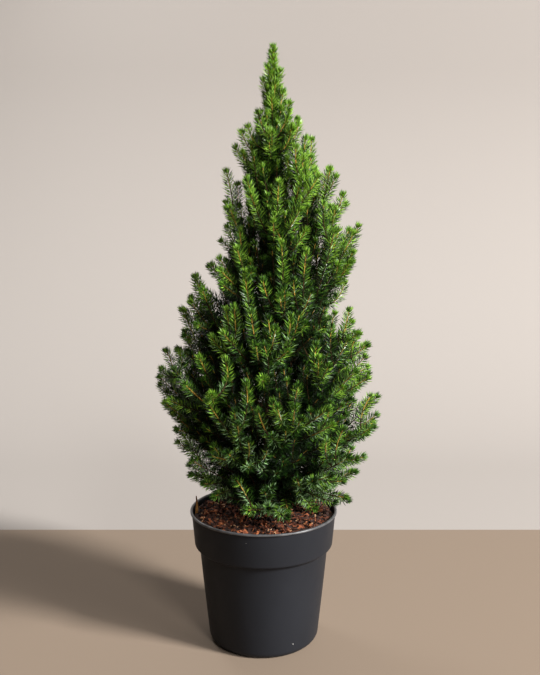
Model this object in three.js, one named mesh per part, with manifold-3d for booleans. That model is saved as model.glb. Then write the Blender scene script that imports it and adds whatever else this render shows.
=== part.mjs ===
// Dwarf Alberta spruce in a nursery pot: pot, compost, trunk, boughs and masses of needled shoots.
// Millimetres, +Z up, origin at the centre of the pot's flat underside, front towards -Y.
import * as THREE from 'three';
import { mergeVertices } from 'three/addons/utils/BufferGeometryUtils.js';
import Module from 'manifold-3d';

const wasm = await Module();
wasm.setup();

const CLEAR = 0.3; // gap between neighbouring pieces
const WELD = 1e-3; // points nearer than this are one

// Pot: outside radii and heights from the flat foot to the lip
const POT = {
  height: 171, wall: 1.8, floor: 2.6, sides: 40,
  footRadius: 66, footRise: 5, baseRadius: 71,
  shoulderRadius: 83, shoulderZ: 121, collarRadius: 89.6, collarZ: 129,
  neckRadius: 93.2, neckZ: 167, lipRadius: 95, lipEdge: 0.8,
};
const COMPOST = { surfaceZ: 164, edgeDrop: 2, flatRadius: 62, sides: 32 };

// Trunk: flat cut on the compost, root flare, slow taper and a slight lean to its tip
const TRUNK = {
  footZ: COMPOST.surfaceZ + CLEAR, tipZ: 590, footX: 5, tipX: 10, bow: 2.5,
  footRadius: 7.6, tipRadius: 1.7, flare: 4.2, flareHeight: 9, sides: 10, rings: 12,
};

// Outline of the crown: height, then how far it reaches from the trunk on the left and on the right
const CROWN = [
  [184, 66, 108], [206, 92, 116], [228, 108, 118], [262, 122, 128], [298, 126, 143], [337, 146, 140],
  [357, 140, 130], [390, 114, 130], [430, 112, 98], [478, 96, 98], [494, 76, 106], [538, 57, 112],
  [578, 58, 92], [608, 58, 78], [636, 46, 58], [662, 30, 38], [684, 20, 26], [716, 15, 15], [752, 4, 4],
];

// Masses stand on the crown's surface in one golden spiral, evenly by area
const SPIRAL = {
  count: 34, boughs: 21, lowZ: 190, highZ: 652, phase: 72, turn: 99.502, skirt: 1.8, skirtHeight: 26,
};
const RISE = { lowAngle: 10, perMillimetre: 0.142, lowFootZ: 184 }; // steeper boughs higher up
const SWEEP = { along: 0.6, lowSag: 0.08, highSag: 0.24 }; // boughs leave low and sweep up to their tips
const BOUGH = { share: 0.25, footRadius: 3.3, endRadius: 1.7, slimming: 0.45, sides: 6, rings: 4 };

// Heart of a mass: a crumpled dense core round the stem that its shoots stand out of
const HEART = {
  from: 0.04, to: 0.74, widest: 0.5, radius: 44, rootRadius: 12, corners: 8, rings: 6, dent: 0.62, lean: 0.2,
  standOut: 22, margin: 1.5, step: 2, lowestZ: 173, needledFrom: 0.5,
};

// Shoots: a slim woody core with needles that stand out of it on alternate corners of each ring
const SHOOT = {
  corners: 6, coreRadius: 2.1, needle: 10.5, rootNeedle: 0.85, tipNeedle: 0.55, lean: 0.5, tipLean: 0.75,
  ringStep: 12, tipLength: 6, sunk: 9, fork: 3,
};
const LATERALS = {
  rounds: 5, tries: 160, shortest: 20, longest: 74, spread: 58, leastReach: 30, nearRoot: 0.02, nearTip: 0.74,
  leastAlong: 0.1, mostAlong: 0.95, lowRise: -0.3, highRise: 0.3, riseHeight: 110, step: 6,
  lowestZ: 186, room: 10.5, forkRoom: 8, kinRoom: 18, watch: 0.6,
};
const LEADER = { tipZ: 752, tipX: 12, sideZ: 668, standOut: 15, kinRoom: 11 };
const STEM_POINTS = 13; // on the line of each mass's stem
const SEED = 64000; // of the side shoots' places
const SPIN_SEED = 7; // of the way their needles face

const COLOURS = {
  pot: 0x2f3032, compost: 0x5a2f1b, trunk: 0x6b4a32, bough: 0x7a5434,
  needles: [0x2f5a26, 0x38682b, 0x2a5226],
};

// ---- seeded rule -------------------------------------------------------------------------------

class Seeded {
  constructor(seed) { this.state = seed; }

  next() {
    this.state = (this.state * 16807) % 2147483647;
    return this.state / 2147483647;
  }

  between(low, high) { return low + (high - low) * this.next(); }
}

const degrees = (angle) => (angle * Math.PI) / 180;
const mix = (a, b, t) => a + (b - a) * t;
const vector = (x, y, z) => new THREE.Vector3(x, y, z);
const along = (a, b, t) => a.clone().lerp(b, t);

// ---- where things are --------------------------------------------------------------------------

function trunkCentre(z) {
  const t = (z - TRUNK.footZ) / (TRUNK.tipZ - TRUNK.footZ);
  const bow = TRUNK.bow * Math.sin(Math.PI * Math.min(t, 1));
  return vector(mix(TRUNK.footX, TRUNK.tipX, t), bow, z);
}

function trunkRadius(z) {
  const t = (z - TRUNK.footZ) / (TRUNK.tipZ - TRUNK.footZ);
  const flare = TRUNK.flare * Math.exp((TRUNK.footZ - z) / TRUNK.flareHeight);
  return mix(TRUNK.footRadius, TRUNK.tipRadius, t) + flare;
}

// How far the crown reaches from the trunk at a height and an azimuth (0 is right, 180 is left)
function crownReach(z, azimuth) {
  const last = CROWN.length - 1;
  if (z < CROWN[0][0] || z > CROWN[last][0]) return 0;
  const upper = Math.max(1, CROWN.findIndex((row) => row[0] >= z));
  const [below, above] = [CROWN[upper - 1], CROWN[upper]];
  const t = (z - below[0]) / (above[0] - below[0]);
  const left = mix(below[1], above[1], t);
  const right = mix(below[2], above[2], t);
  return (left + right) / 2 + ((right - left) / 2) * Math.cos(azimuth);
}

// Heights that cut the crown's surface into equal areas, smaller ones in its skirt
function evenHeights() {
  const sums = [0];
  for (let z = SPIRAL.lowZ; z < SPIRAL.highZ; z += 1) {
    const weight = 1 + SPIRAL.skirt * Math.exp((SPIRAL.lowZ - z) / SPIRAL.skirtHeight);
    sums.push(sums[sums.length - 1] + weight * crownReach(z, Math.PI / 2));
  }
  const total = sums[sums.length - 1];
  const heights = [];
  for (let i = 0; i < SPIRAL.count; i += 1) {
    const goal = ((i + 0.5) / SPIRAL.count) * total;
    heights.push(SPIRAL.lowZ + sums.findIndex((sum) => sum >= goal));
  }
  return heights;
}

// ---- boughs and stems --------------------------------------------------------------------------

// One limb line from the trunk's axis to the crown's surface
function limbLine(z, azimuth) {
  const reach = crownReach(z, azimuth);
  const angle = degrees(RISE.lowAngle + RISE.perMillimetre * (z - SPIRAL.lowZ));
  const footZ = Math.max(RISE.lowFootZ, z - reach * Math.tan(angle));
  const foot = trunkCentre(footZ);
  const centre = trunkCentre(z);
  const out = vector(Math.cos(azimuth), Math.sin(azimuth), 0);
  const tip = centre.clone().addScaledVector(out, reach);
  const sag = mix(SWEEP.lowSag, SWEEP.highSag, (z - SPIRAL.lowZ) / (SPIRAL.highZ - SPIRAL.lowZ));
  const bend = along(foot, tip, SWEEP.along).add(vector(0, 0, -sag * reach));
  return { foot, bend, tip };
}

function onLine(line, t) {
  return along(along(line.foot, line.bend, t), along(line.bend, line.tip, t), t);
}

function pointsOn(line, from, to, count) {
  const points = [];
  for (let i = 0; i < count; i += 1) points.push(onLine(line, mix(from, to, i / (count - 1))));
  return points;
}

function pathLength(points) {
  let length = 0;
  for (let i = 1; i < points.length; i += 1) length += points[i].distanceTo(points[i - 1]);
  return length;
}

// ---- keeping to its own space ------------------------------------------------------------------

// Distance from a point to the nearest stretch of a line of points
function distanceToLine(p, points) {
  let least = Infinity;
  for (let i = 1; i < points.length; i += 1) {
    const [a, b] = [points[i - 1], points[i]];
    const [ux, uy, uz] = [b.x - a.x, b.y - a.y, b.z - a.z];
    const share = ((p.x - a.x) * ux + (p.y - a.y) * uy + (p.z - a.z) * uz) / (ux * ux + uy * uy + uz * uz);
    const t = Math.min(1, Math.max(0, share));
    least = Math.min(least, Math.hypot(p.x - a.x - t * ux, p.y - a.y - t * uy, p.z - a.z - t * uz));
  }
  return least;
}

// A mass's space is all that lies nearer to its stem than to any other stem, clear of the bare limbs.
// This is how much room a point has inside it.
function roomInSpace(point, mass, tree) {
  const own = distanceToLine(point, mass.stem);
  let room = Infinity;
  tree.masses.forEach((other) => {
    if (other !== mass) room = Math.min(room, (distanceToLine(point, other.stem) - own) / 2);
  });
  tree.limbs.forEach((limb) => { room = Math.min(room, distanceToLine(point, limb.points) - limb.radius); });
  return room - CLEAR;
}

// How far a point lies inside the crown's outline at its own height
function depthInCrown(point) {
  const centre = trunkCentre(point.z);
  const [dx, dy] = [point.x - centre.x, point.y - centre.y];
  return crownReach(point.z, Math.atan2(dy, dx)) - Math.hypot(dx, dy);
}

// ---- hearts ------------------------------------------------------------------------------------

// Corners of a ring stand proud in turn, and those of the next ring in between
const isProud = (k, j) => (j + k) % 2 === 0;

function pointAlong(points, t) {
  const place = t * (points.length - 1);
  const i = Math.min(points.length - 2, Math.floor(place));
  const tangent = points[i + 1].clone().sub(points[i]).normalize();
  return { at: along(points[i], points[i + 1], place - i), tangent };
}

function sideways(tangent) {
  const helper = Math.abs(tangent.z) > 0.9 ? vector(1, 0, 0) : vector(0, 0, 1);
  const n1 = helper.clone().cross(tangent).normalize();
  return [n1, tangent.clone().cross(n1)];
}

// How far out a heart's corner can stand from its stem
function cornerReach(at, heading, least, wanted, mass, tree) {
  let radius = least;
  for (let next = HEART.rootRadius; next <= wanted; next += HEART.step) {
    const corner = at.clone().addScaledVector(heading, next);
    const shallow = depthInCrown(corner) < mass.standOut || corner.z < HEART.lowestZ;
    if (shallow || roomInSpace(corner, mass, tree) < HEART.margin) break;
    radius = next;
  }
  return radius;
}

// Rings of a heart along its stem, each corner standing as far out as the mass's space lets it
function growHeart(mass, tree) {
  return Array.from({ length: HEART.rings }, (_, i) => {
    const share = i / (HEART.rings - 1);
    const { at, tangent } = pointAlong(mass.stem, mix(HEART.from, HEART.to, share));
    const grown = share < HEART.widest ? share / HEART.widest : (1 - share) / (1 - HEART.widest);
    const wanted = mix(HEART.rootRadius, HEART.radius, Math.sqrt(grown));
    const [n1, n2] = sideways(tangent);
    const least = share < HEART.needledFrom ? SHOOT.coreRadius : SHOOT.needle;
    const radii = Array.from({ length: HEART.corners }, (__, j) => {
      const turn = (j / HEART.corners) * 2 * Math.PI;
      const heading = n1.clone().multiplyScalar(Math.cos(turn)).addScaledVector(n2, Math.sin(turn));
      const radius = cornerReach(at, heading, least, wanted, mass, tree);
      return radius * (isProud(i + 1, j) ? 1 : HEART.dent);
    });
    return { at, n1, n2, tangent, radii, mean: radii.reduce((sum, r) => sum + r, 0) / HEART.corners };
  });
}

// ---- shoots ------------------------------------------------------------------------------------

// How far along a side shoot it comes out of its mass's heart
function comesOut(root, heading, heart) {
  let distance = SHOOT.coreRadius;
  const inside = (point) => heart.some(({ at, mean }) => point.distanceTo(at) < mean);
  while (inside(root.clone().addScaledVector(heading, distance))) distance += 1;
  return distance;
}

// Side shoots turn upwards, but less near the pot
function leastRise(z) {
  return mix(LATERALS.lowRise, LATERALS.highRise, Math.min(1, (z - SPIRAL.lowZ) / LATERALS.riseHeight));
}

// One try at a side shoot: from somewhere on the stem to a place on the crown's surface
function trySideShoot(mass, random) {
  const tipZ = mass.z + random.between(-LATERALS.spread, LATERALS.spread);
  const turn = random.between(-LATERALS.spread, LATERALS.spread) / Math.max(mass.reach, LATERALS.leastReach);
  const { at: root, tangent } = pointAlong(mass.stem, random.between(LATERALS.nearRoot, LATERALS.nearTip));
  const azimuth = mass.azimuth + turn;
  const reach = crownReach(tipZ, azimuth);
  const tip = trunkCentre(tipZ).add(vector(reach * Math.cos(azimuth), reach * Math.sin(azimuth), 0));
  const length = root.distanceTo(tip);
  const heading = tip.clone().sub(root).divideScalar(length);
  const fork = tangent.dot(heading);
  if (fork > LATERALS.mostAlong || fork < LATERALS.leastAlong || heading.z < leastRise(tipZ)) return null;
  const bare = comesOut(root, heading, mass.heart);
  const needled = length - bare;
  if (needled < LATERALS.shortest || needled > LATERALS.longest || tipZ < LATERALS.lowestZ) return null;
  return { points: [root, tip], length, bare };
}

// A side shoot's needles stay in its mass's space and, past the fork, off the mass's other shoots
function isFree(shoot, mass, tree) {
  const kin = [mass.stem, ...mass.sideShoots.map(({ points }) => points)];
  const steps = Math.ceil((shoot.length - shoot.bare) / LATERALS.step);
  for (let i = 0; i <= steps; i += 1) {
    const place = mix(shoot.bare, shoot.length, i / steps);
    const point = along(...shoot.points, place / shoot.length);
    if (roomInSpace(point, mass, tree) < LATERALS.room) return false;
    const pastFork = place > shoot.bare + LATERALS.forkRoom;
    if (pastFork && kin.some((points) => distanceToLine(point, points) < mass.kinRoom)) return false;
  }
  return true;
}

function roomAround(tip, lines) {
  return lines.reduce((room, points) => {
    const [a, b] = [points[0], points[points.length - 1]];
    return Math.min(room, tip.distanceTo(b), tip.distanceTo(along(a, b, LATERALS.watch)));
  }, Infinity);
}

// The roomiest of several tries, or none
function bestSideShoot(mass, tree, lines, random) {
  let best = null;
  let most = 0;
  for (let n = 0; n < LATERALS.tries; n += 1) {
    const shoot = trySideShoot(mass, random);
    if (!shoot || !isFree(shoot, mass, tree)) continue;
    const room = roomAround(shoot.points[1], lines);
    if (room > most) [best, most] = [shoot, room];
  }
  return best;
}

function addSideShoots(tree) {
  const lines = tree.masses.map(({ stem }) => stem);
  const random = new Seeded(SEED);
  for (let round = 0; round < LATERALS.rounds; round += 1) {
    tree.masses.forEach((mass) => {
      const shoot = bestSideShoot(mass, tree, lines, random);
      if (!shoot) return;
      mass.sideShoots.push(shoot);
      lines.push(shoot.points);
    });
  }
}

// ---- the tree ----------------------------------------------------------------------------------

// A mass on a bough starts just past the bough's end, one without starts at the trunk
function growMass(z, i) {
  const azimuth = degrees(SPIRAL.phase + i * SPIRAL.turn);
  const line = limbLine(z, azimuth);
  const onBough = i < SPIRAL.boughs;
  const gap = CLEAR / pathLength(pointsOn(line, 0, 1, STEM_POINTS));
  const stem = pointsOn(line, onBough ? BOUGH.share + gap : 0, 1, STEM_POINTS);
  const bough = onBough ? pointsOn(line, 0, BOUGH.share, BOUGH.rings + 1) : null;
  const reach = crownReach(z, azimuth);
  const { standOut } = HEART;
  const { kinRoom } = LATERALS;
  return { line, z, azimuth, reach, standOut, kinRoom, stem, bough, sideShoots: [] };
}

function growLeader() {
  const foot = trunkCentre(TRUNK.tipZ + CLEAR);
  const tip = vector(LEADER.tipX, 0, LEADER.tipZ);
  const stem = pointsOn({ foot, bend: along(foot, tip, 0.5), tip }, 0, 1, STEM_POINTS);
  const { sideZ: z, standOut, kinRoom } = LEADER;
  return { z, azimuth: 0, reach: 0, standOut, kinRoom, stem, isLeader: true, sideShoots: [] };
}

function growTree() {
  const masses = [...evenHeights().map(growMass), growLeader()];
  const trunk = Array.from({ length: TRUNK.rings + 1 }, (_, i) => (
    trunkCentre(mix(TRUNK.footZ, TRUNK.tipZ, i / TRUNK.rings))));
  const boughs = masses.filter(({ bough }) => bough)
    .map(({ bough }) => ({ points: bough, radius: BOUGH.footRadius }));
  const tree = { masses, limbs: [{ points: trunk, radius: TRUNK.footRadius }, ...boughs] };
  masses.forEach((mass) => { mass.heart = growHeart(mass, tree); });
  addSideShoots(tree);
  return tree.masses;
}

// ---- solids ------------------------------------------------------------------------------------

function toSolid(points, triangles) {
  const vertProperties = new Float32Array(points.flatMap((p) => [p.x, p.y, p.z]));
  const triVerts = new Uint32Array(triangles.flat());
  return new wasm.Manifold(new wasm.Mesh({ numProp: 3, vertProperties, triVerts }));
}

function toGeometry(solid) {
  const mesh = solid.getMesh();
  const geometry = new THREE.BufferGeometry();
  geometry.setAttribute('position', new THREE.BufferAttribute(new Float32Array(mesh.vertProperties), 3));
  geometry.setIndex(Array.from(mesh.triVerts));
  return mergeVertices(geometry, WELD);
}

const largestShell = (solid) => solid.decompose().reduce((a, b) => (b.volume() > a.volume() ? b : a));

// The largest shell alone, before and after near points are welded: loose scraps go and a sealed
// hollow is filled
function wholePiece(solid) {
  const welded = toGeometry(largestShell(solid));
  const { array: vertProperties } = welded.getAttribute('position');
  const triVerts = new Uint32Array(welded.index.array);
  return largestShell(new wasm.Manifold(new wasm.Mesh({ numProp: 3, vertProperties, triVerts })));
}

// Rings of equal corner count, closed by a flat cap below and a cap or a point above.
// Each square between rings folds along its two corners that aren't proud.
function skin(rings, apex, proud) {
  const corners = rings[0].length;
  const points = rings.flat();
  const triangles = [];
  for (let k = 0; k + 1 < rings.length; k += 1) {
    for (let j = 0; j < corners; j += 1) {
      const [a, b] = [k * corners + j, k * corners + ((j + 1) % corners)];
      const [c, d] = [b + corners, a + corners];
      if (proud(k, j)) triangles.push([a, b, d], [b, c, d]);
      else triangles.push([a, b, c], [a, c, d]);
    }
  }
  const top = (rings.length - 1) * corners;
  for (let j = 1; j + 1 < corners; j += 1) triangles.push([0, j + 1, j]);
  if (apex) {
    points.push(apex);
    for (let j = 0; j < corners; j += 1) {
      triangles.push([top + j, top + ((j + 1) % corners), points.length - 1]);
    }
  } else {
    for (let j = 1; j + 1 < corners; j += 1) triangles.push([top, top + j, top + j + 1]);
  }
  return toSolid(points, triangles);
}

function ring(centre, n1, n2, corners, radiusAt, shift) {
  return Array.from({ length: corners }, (_, j) => {
    const turn = (j / corners) * 2 * Math.PI;
    const across = radiusAt(j) * Math.cos(turn);
    const up = radiusAt(j) * Math.sin(turn);
    return centre.clone().addScaledVector(n1, across).addScaledVector(n2, up).add(shift(j));
  });
}

const still = () => vector(0, 0, 0);

function trunkSolid(extra) {
  const rings = [];
  for (let i = 0; i <= TRUNK.rings; i += 1) {
    const t = (i / TRUNK.rings) ** 1.6;
    const z = mix(TRUNK.footZ, TRUNK.tipZ, t);
    const radius = trunkRadius(z) + extra;
    rings.push(ring(trunkCentre(z), vector(1, 0, 0), vector(0, 1, 0), TRUNK.sides, () => radius, still));
  }
  return skin(rings, null, () => false);
}

function boughSolid(mass) {
  const slim = 1 - BOUGH.slimming * ((mass.z - SPIRAL.lowZ) / (SPIRAL.highZ - SPIRAL.lowZ));
  const rings = mass.bough.map((centre, i) => {
    const next = onLine(mass.line, (BOUGH.share * i) / BOUGH.rings + 0.01);
    const [n1, n2] = sideways(next.sub(centre).normalize());
    const radius = mix(BOUGH.footRadius * slim, BOUGH.endRadius, i / BOUGH.rings);
    return ring(centre, n1, n2, BOUGH.sides, () => radius, still);
  });
  return skin(rings, null, () => false);
}

// Distances along a shoot at which its needled rings stand
function ringPlaces(from, length) {
  const room = length - SHOOT.tipLength - from;
  const count = Math.max(2, Math.round(room / SHOOT.ringStep) + 1);
  return Array.from({ length: count }, (_, i) => from + (room * i) / (count - 1));
}

function atDistance(points, distance) {
  let left = distance;
  for (let i = 1; i < points.length; i += 1) {
    const span = points[i].distanceTo(points[i - 1]);
    const tangent = points[i].clone().sub(points[i - 1]).normalize();
    if (left <= span || i === points.length - 1) {
      return { at: points[i - 1].clone().addScaledVector(tangent, left), tangent };
    }
    left -= span;
  }
  return null;
}

// Needled rings along a shoot: proud corners are needles that lean towards the tip
function needledRings(points, places, corners, spin, firstRing) {
  return places.map((distance, i) => {
    const { at, tangent } = atDistance(points, distance);
    const [s1, s2] = sideways(tangent);
    const n1 = s1.clone().multiplyScalar(Math.cos(spin)).addScaledVector(s2, Math.sin(spin));
    const n2 = tangent.clone().cross(n1);
    const share = i / (places.length - 1);
    const size = SHOOT.needle * (i === 0 ? SHOOT.rootNeedle : mix(1, SHOOT.tipNeedle, share * share));
    const lean = size * mix(SHOOT.lean, SHOOT.tipLean, share);
    const proud = (j) => isProud(firstRing + i, j);
    const shift = (j) => tangent.clone().multiplyScalar(proud(j) ? lean : 0);
    return ring(at, n1, n2, corners, (j) => (proud(j) ? size : SHOOT.coreRadius), shift);
  });
}

// A side shoot: a bare root sunk in the heart, then needles to its tip
function sideShootSolid({ points, length, bare }, spin) {
  const [root, tip] = points;
  const heading = tip.clone().sub(root).normalize();
  const [n1, n2] = sideways(heading);
  const sunk = root.clone().addScaledVector(heading, Math.max(0, bare - SHOOT.sunk));
  const foot = ring(sunk, n1, n2, SHOOT.corners, () => SHOOT.coreRadius, still);
  const needled = needledRings(points, ringPlaces(bare + SHOOT.fork, length), SHOOT.corners, spin, 1);
  return skin([foot, ...needled], tip, isProud);
}

// A stem in one skin: cut end, heart, then needles to its tip
function stemSolid({ stem, heart }) {
  const [first] = heart;
  const cut = ring(stem[0], first.n1, first.n2, HEART.corners, () => BOUGH.endRadius, still);
  const hearted = heart.map(({ at, tangent, n1, n2, radii }, k) => {
    const shift = (j) => tangent.clone().multiplyScalar(isProud(k + 1, j) ? HEART.lean * radii[j] : 0);
    return ring(at, n1, n2, HEART.corners, (j) => radii[j], shift);
  });
  const length = pathLength(stem);
  const places = ringPlaces(HEART.to * length + SHOOT.ringStep, length);
  const needled = needledRings(stem, places, HEART.corners, 0, heart.length + 1);
  return skin([cut, ...hearted, ...needled], stem[stem.length - 1], isProud);
}

function massSolid(mass, random, trunkHull) {
  const solid = mass.sideShoots.reduce((whole, shoot) => (
    whole.add(sideShootSolid(shoot, random.between(0, 2 * Math.PI)))), stemSolid(mass));
  const fromTrunk = !mass.bough && !mass.isLeader;
  return wholePiece(fromTrunk ? solid.subtract(trunkHull) : solid);
}

// ---- pot and compost ---------------------------------------------------------------------------

function lathe(profile, sides) {
  const geometry = new THREE.LatheGeometry(profile.map(([r, z]) => new THREE.Vector2(r, z)), sides);
  geometry.rotateX(Math.PI / 2);
  geometry.deleteAttribute('normal');
  geometry.deleteAttribute('uv');
  return mergeVertices(geometry);
}

function potProfile() {
  const { wall, floor } = POT;
  const outside = [
    [0, 0], [POT.footRadius, 0], [POT.baseRadius, POT.footRise], [POT.shoulderRadius, POT.shoulderZ],
    [POT.collarRadius, POT.collarZ], [POT.neckRadius, POT.neckZ], [POT.lipRadius, POT.neckZ + POT.lipEdge],
    [POT.lipRadius, POT.height - POT.lipEdge], [POT.lipRadius - POT.lipEdge, POT.height],
  ];
  const inside = [
    [POT.neckRadius - wall, POT.height], [POT.neckRadius - wall, POT.neckZ],
    [POT.collarRadius - wall, POT.collarZ - wall], [POT.shoulderRadius - wall, POT.shoulderZ - wall],
    [POT.baseRadius - wall, floor + POT.footRise], [POT.footRadius - wall, floor], [0, floor],
  ];
  return [...outside, ...inside];
}

function compostProfile() {
  const inset = POT.wall + CLEAR * 1.2;
  const edgeZ = COMPOST.surfaceZ - COMPOST.edgeDrop;
  const atNeck = mix(POT.collarRadius, POT.neckRadius, (edgeZ - POT.collarZ) / (POT.neckZ - POT.collarZ));
  const low = POT.floor + CLEAR;
  return [
    [0, low], [POT.footRadius - inset, low], [POT.baseRadius - inset, low + POT.footRise],
    [POT.shoulderRadius - inset, POT.shoulderZ - POT.wall], [POT.collarRadius - inset, POT.collarZ - POT.wall],
    [atNeck - inset, edgeZ], [COMPOST.flatRadius, COMPOST.surfaceZ], [0, COMPOST.surfaceZ],
  ];
}

// ---- assembly ----------------------------------------------------------------------------------

function place(group, name, geometry, colour, roughness) {
  const material = new THREE.MeshStandardMaterial({ color: colour, roughness, metalness: 0 });
  const mesh = new THREE.Mesh(geometry, material);
  mesh.name = name;
  group.add(mesh);
}

const numbered = (word, i) => `${word}_${String(i + 1).padStart(2, '0')}`;

function buildPlant() {
  const plant = new THREE.Group();
  plant.name = 'potted_alberta_spruce';
  place(plant, 'pot', lathe(potProfile(), POT.sides), COLOURS.pot, 0.55);
  place(plant, 'compost', lathe(compostProfile(), COMPOST.sides), COLOURS.compost, 1);
  place(plant, 'trunk', toGeometry(trunkSolid(0)), COLOURS.trunk, 0.9);
  const trunkHull = trunkSolid(CLEAR);
  const random = new Seeded(SPIN_SEED);
  growTree().forEach((mass, i) => {
    const colour = COLOURS.needles[i % COLOURS.needles.length];
    if (mass.bough) {
      const limb = wholePiece(boughSolid(mass).subtract(trunkHull));
      place(plant, numbered('bough', i), toGeometry(limb), COLOURS.bough, 0.9);
    }
    const name = mass.isLeader ? 'leader_foliage' : numbered('foliage', i);
    place(plant, name, toGeometry(massSolid(mass, random, trunkHull)), colour, 0.8);
  });
  return plant;
}

export default buildPlant();
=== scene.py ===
"""Dwarf Alberta spruce in a nursery pot: the pot, its compost, and the tree from trunk to needles.

Metres, +Z up, front towards -Y. The tree grows by the same seeded rule as the solids, worked out in
millimetres, and is carried on to finer twigs and single needles.
"""
import math

import bpy
import numpy as np
from mathutils import Matrix, Vector


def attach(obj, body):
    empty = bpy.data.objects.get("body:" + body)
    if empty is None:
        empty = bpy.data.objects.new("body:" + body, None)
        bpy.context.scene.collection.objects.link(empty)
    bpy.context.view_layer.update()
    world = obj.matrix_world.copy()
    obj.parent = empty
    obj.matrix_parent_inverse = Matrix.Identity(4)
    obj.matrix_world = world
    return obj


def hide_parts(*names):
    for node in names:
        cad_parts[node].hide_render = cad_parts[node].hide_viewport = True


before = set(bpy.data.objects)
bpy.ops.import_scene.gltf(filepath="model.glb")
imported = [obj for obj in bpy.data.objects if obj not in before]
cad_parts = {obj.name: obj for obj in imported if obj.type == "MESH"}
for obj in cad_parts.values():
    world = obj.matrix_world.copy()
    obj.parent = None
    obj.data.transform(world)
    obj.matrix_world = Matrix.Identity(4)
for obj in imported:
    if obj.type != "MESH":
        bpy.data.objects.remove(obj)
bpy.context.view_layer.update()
MM = 0.001
GOLDEN_ANGLE = 2.39996
ANY_TURN = 6.28

# ---- the tree's named sizes, in millimetres ----

CLEAR = 0.3
COMPOST_Z = 164.0
TRUNK = dict(foot_z=COMPOST_Z + CLEAR, tip_z=590.0, foot_x=5.0, tip_x=10.0, bow=2.5,
             foot_radius=7.6, tip_radius=1.7, flare=4.2, flare_height=9.0, rings=12)
# Outline of the crown: height, then its reach from the trunk on the left and on the right
CROWN = np.array([
    [184, 66, 108], [206, 92, 116], [228, 108, 118], [262, 122, 128], [298, 126, 143], [337, 146, 140],
    [357, 140, 130], [390, 114, 130], [430, 112, 98], [478, 96, 98], [494, 76, 106], [538, 57, 112],
    [578, 58, 92], [608, 58, 78], [636, 46, 58], [662, 30, 38], [684, 20, 26], [716, 15, 15], [752, 4, 4],
], float)
# The dense body of the crown, inside its furthest tips, in the same three columns
BODY = np.array([
    [184, 60, 62], [206, 72, 72], [228, 78, 90], [262, 104, 108], [298, 113, 114], [337, 130, 106],
    [357, 120, 107], [390, 98, 100], [430, 96, 78], [478, 66, 88], [494, 58, 92], [538, 44, 86],
    [578, 32, 58], [608, 36, 45], [636, 36, 44], [662, 16, 25], [684, 8, 14], [716, 5, 6], [752, 1, 1],
], float)
SPIRAL = dict(count=34, boughs=21, low_z=190, high_z=652, phase=72, turn=99.502, skirt=1.8, skirt_height=26)
RISE = dict(low_angle=10, per_millimetre=0.142, low_foot_z=184)
SWEEP = dict(along=0.6, low_sag=0.08, high_sag=0.24)
BOUGH = dict(share=0.25, foot_radius=3.3, end_radius=1.7, slimming=0.45, rings=4)
HEART = dict(start=0.04, end=0.74, widest=0.5, radius=44, root_radius=12, corners=8, rings=6, dent=0.62,
             stand_out=22, margin=1.5, step=2, lowest_z=173, needled_from=0.5)
SHOOT = dict(core_radius=2.1, needle=10.5, furthest=300)
LATERALS = dict(rounds=5, tries=160, shortest=20, longest=74, spread=58, least_reach=30, near_root=0.02,
                near_tip=0.74, least_along=0.1, most_along=0.95, low_rise=-0.3, high_rise=0.3,
                rise_height=110, step=6, lowest_z=186, room=10.5, fork_room=8, kin_room=18, watch=0.6)
LEADER = dict(tip_z=752, tip_x=12, side_z=668, stand_out=15, kin_room=11)
STEM_POINTS = 13
SEED = 64000

# Finer twigs, which the solids leave out: how steeply they climb at each height, in degrees
FINE = dict(seed=4711, points=7, length=50.0, shortest=20.0, longest=100.0, bare=6.0, bend=0.5,
            rise=([186, 210, 240, 300, 380, 480, 600, 700], [0, 10, 24, 44, 60, 70, 76, 80]),
            jitter=17, rise_jitter=0.7, turn_jitter=2, around=0.25, ragged_power=1.4, least_reach=3,
            lowest_tip=184, lowest_z=171, below_top=6, top_share=10.0, top_from=560)
# How well a fork suits a twig: its length, its heading, and the angle at which it leaves
FORK = dict(gap=6.0, heading_cost=3, least_true=0.72, least_fork=0.35, never=99)
# Where shoots fork, as a length from their foot and a share of all their length
FORKED = dict(own=0.8, standing=(14.0, 0.5), layer=(12.0, 0.6))
# How far from its foot a shoot is bare, and how far a side shoot sags, as a share of its length
BARE_FOOT = dict(past_trunk=6, stem=4.0, side=5.0)
SIDE_SAG = 0.07
# Layers of twigs: tries, depth of their tips under the body's surface, raggedness, kind, room between tips
LAYERS = (
    (1500, 1.0, 20.0, "outer", 14.0), (900, 24.0, 16.0, "inner", 15.0), (380, 46.0, 14.0, "core", 16.0),
)
# Lengths on the camera's picture are in its pixels, and sight is where a line of sight is searched
CAMERA = dict(at=(8.3, -997.0, 522.0), pitch=7.29, focal=794.0, width=540, height=675, sensor=36,
              sight=(800, 1100, 1.5))
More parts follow.
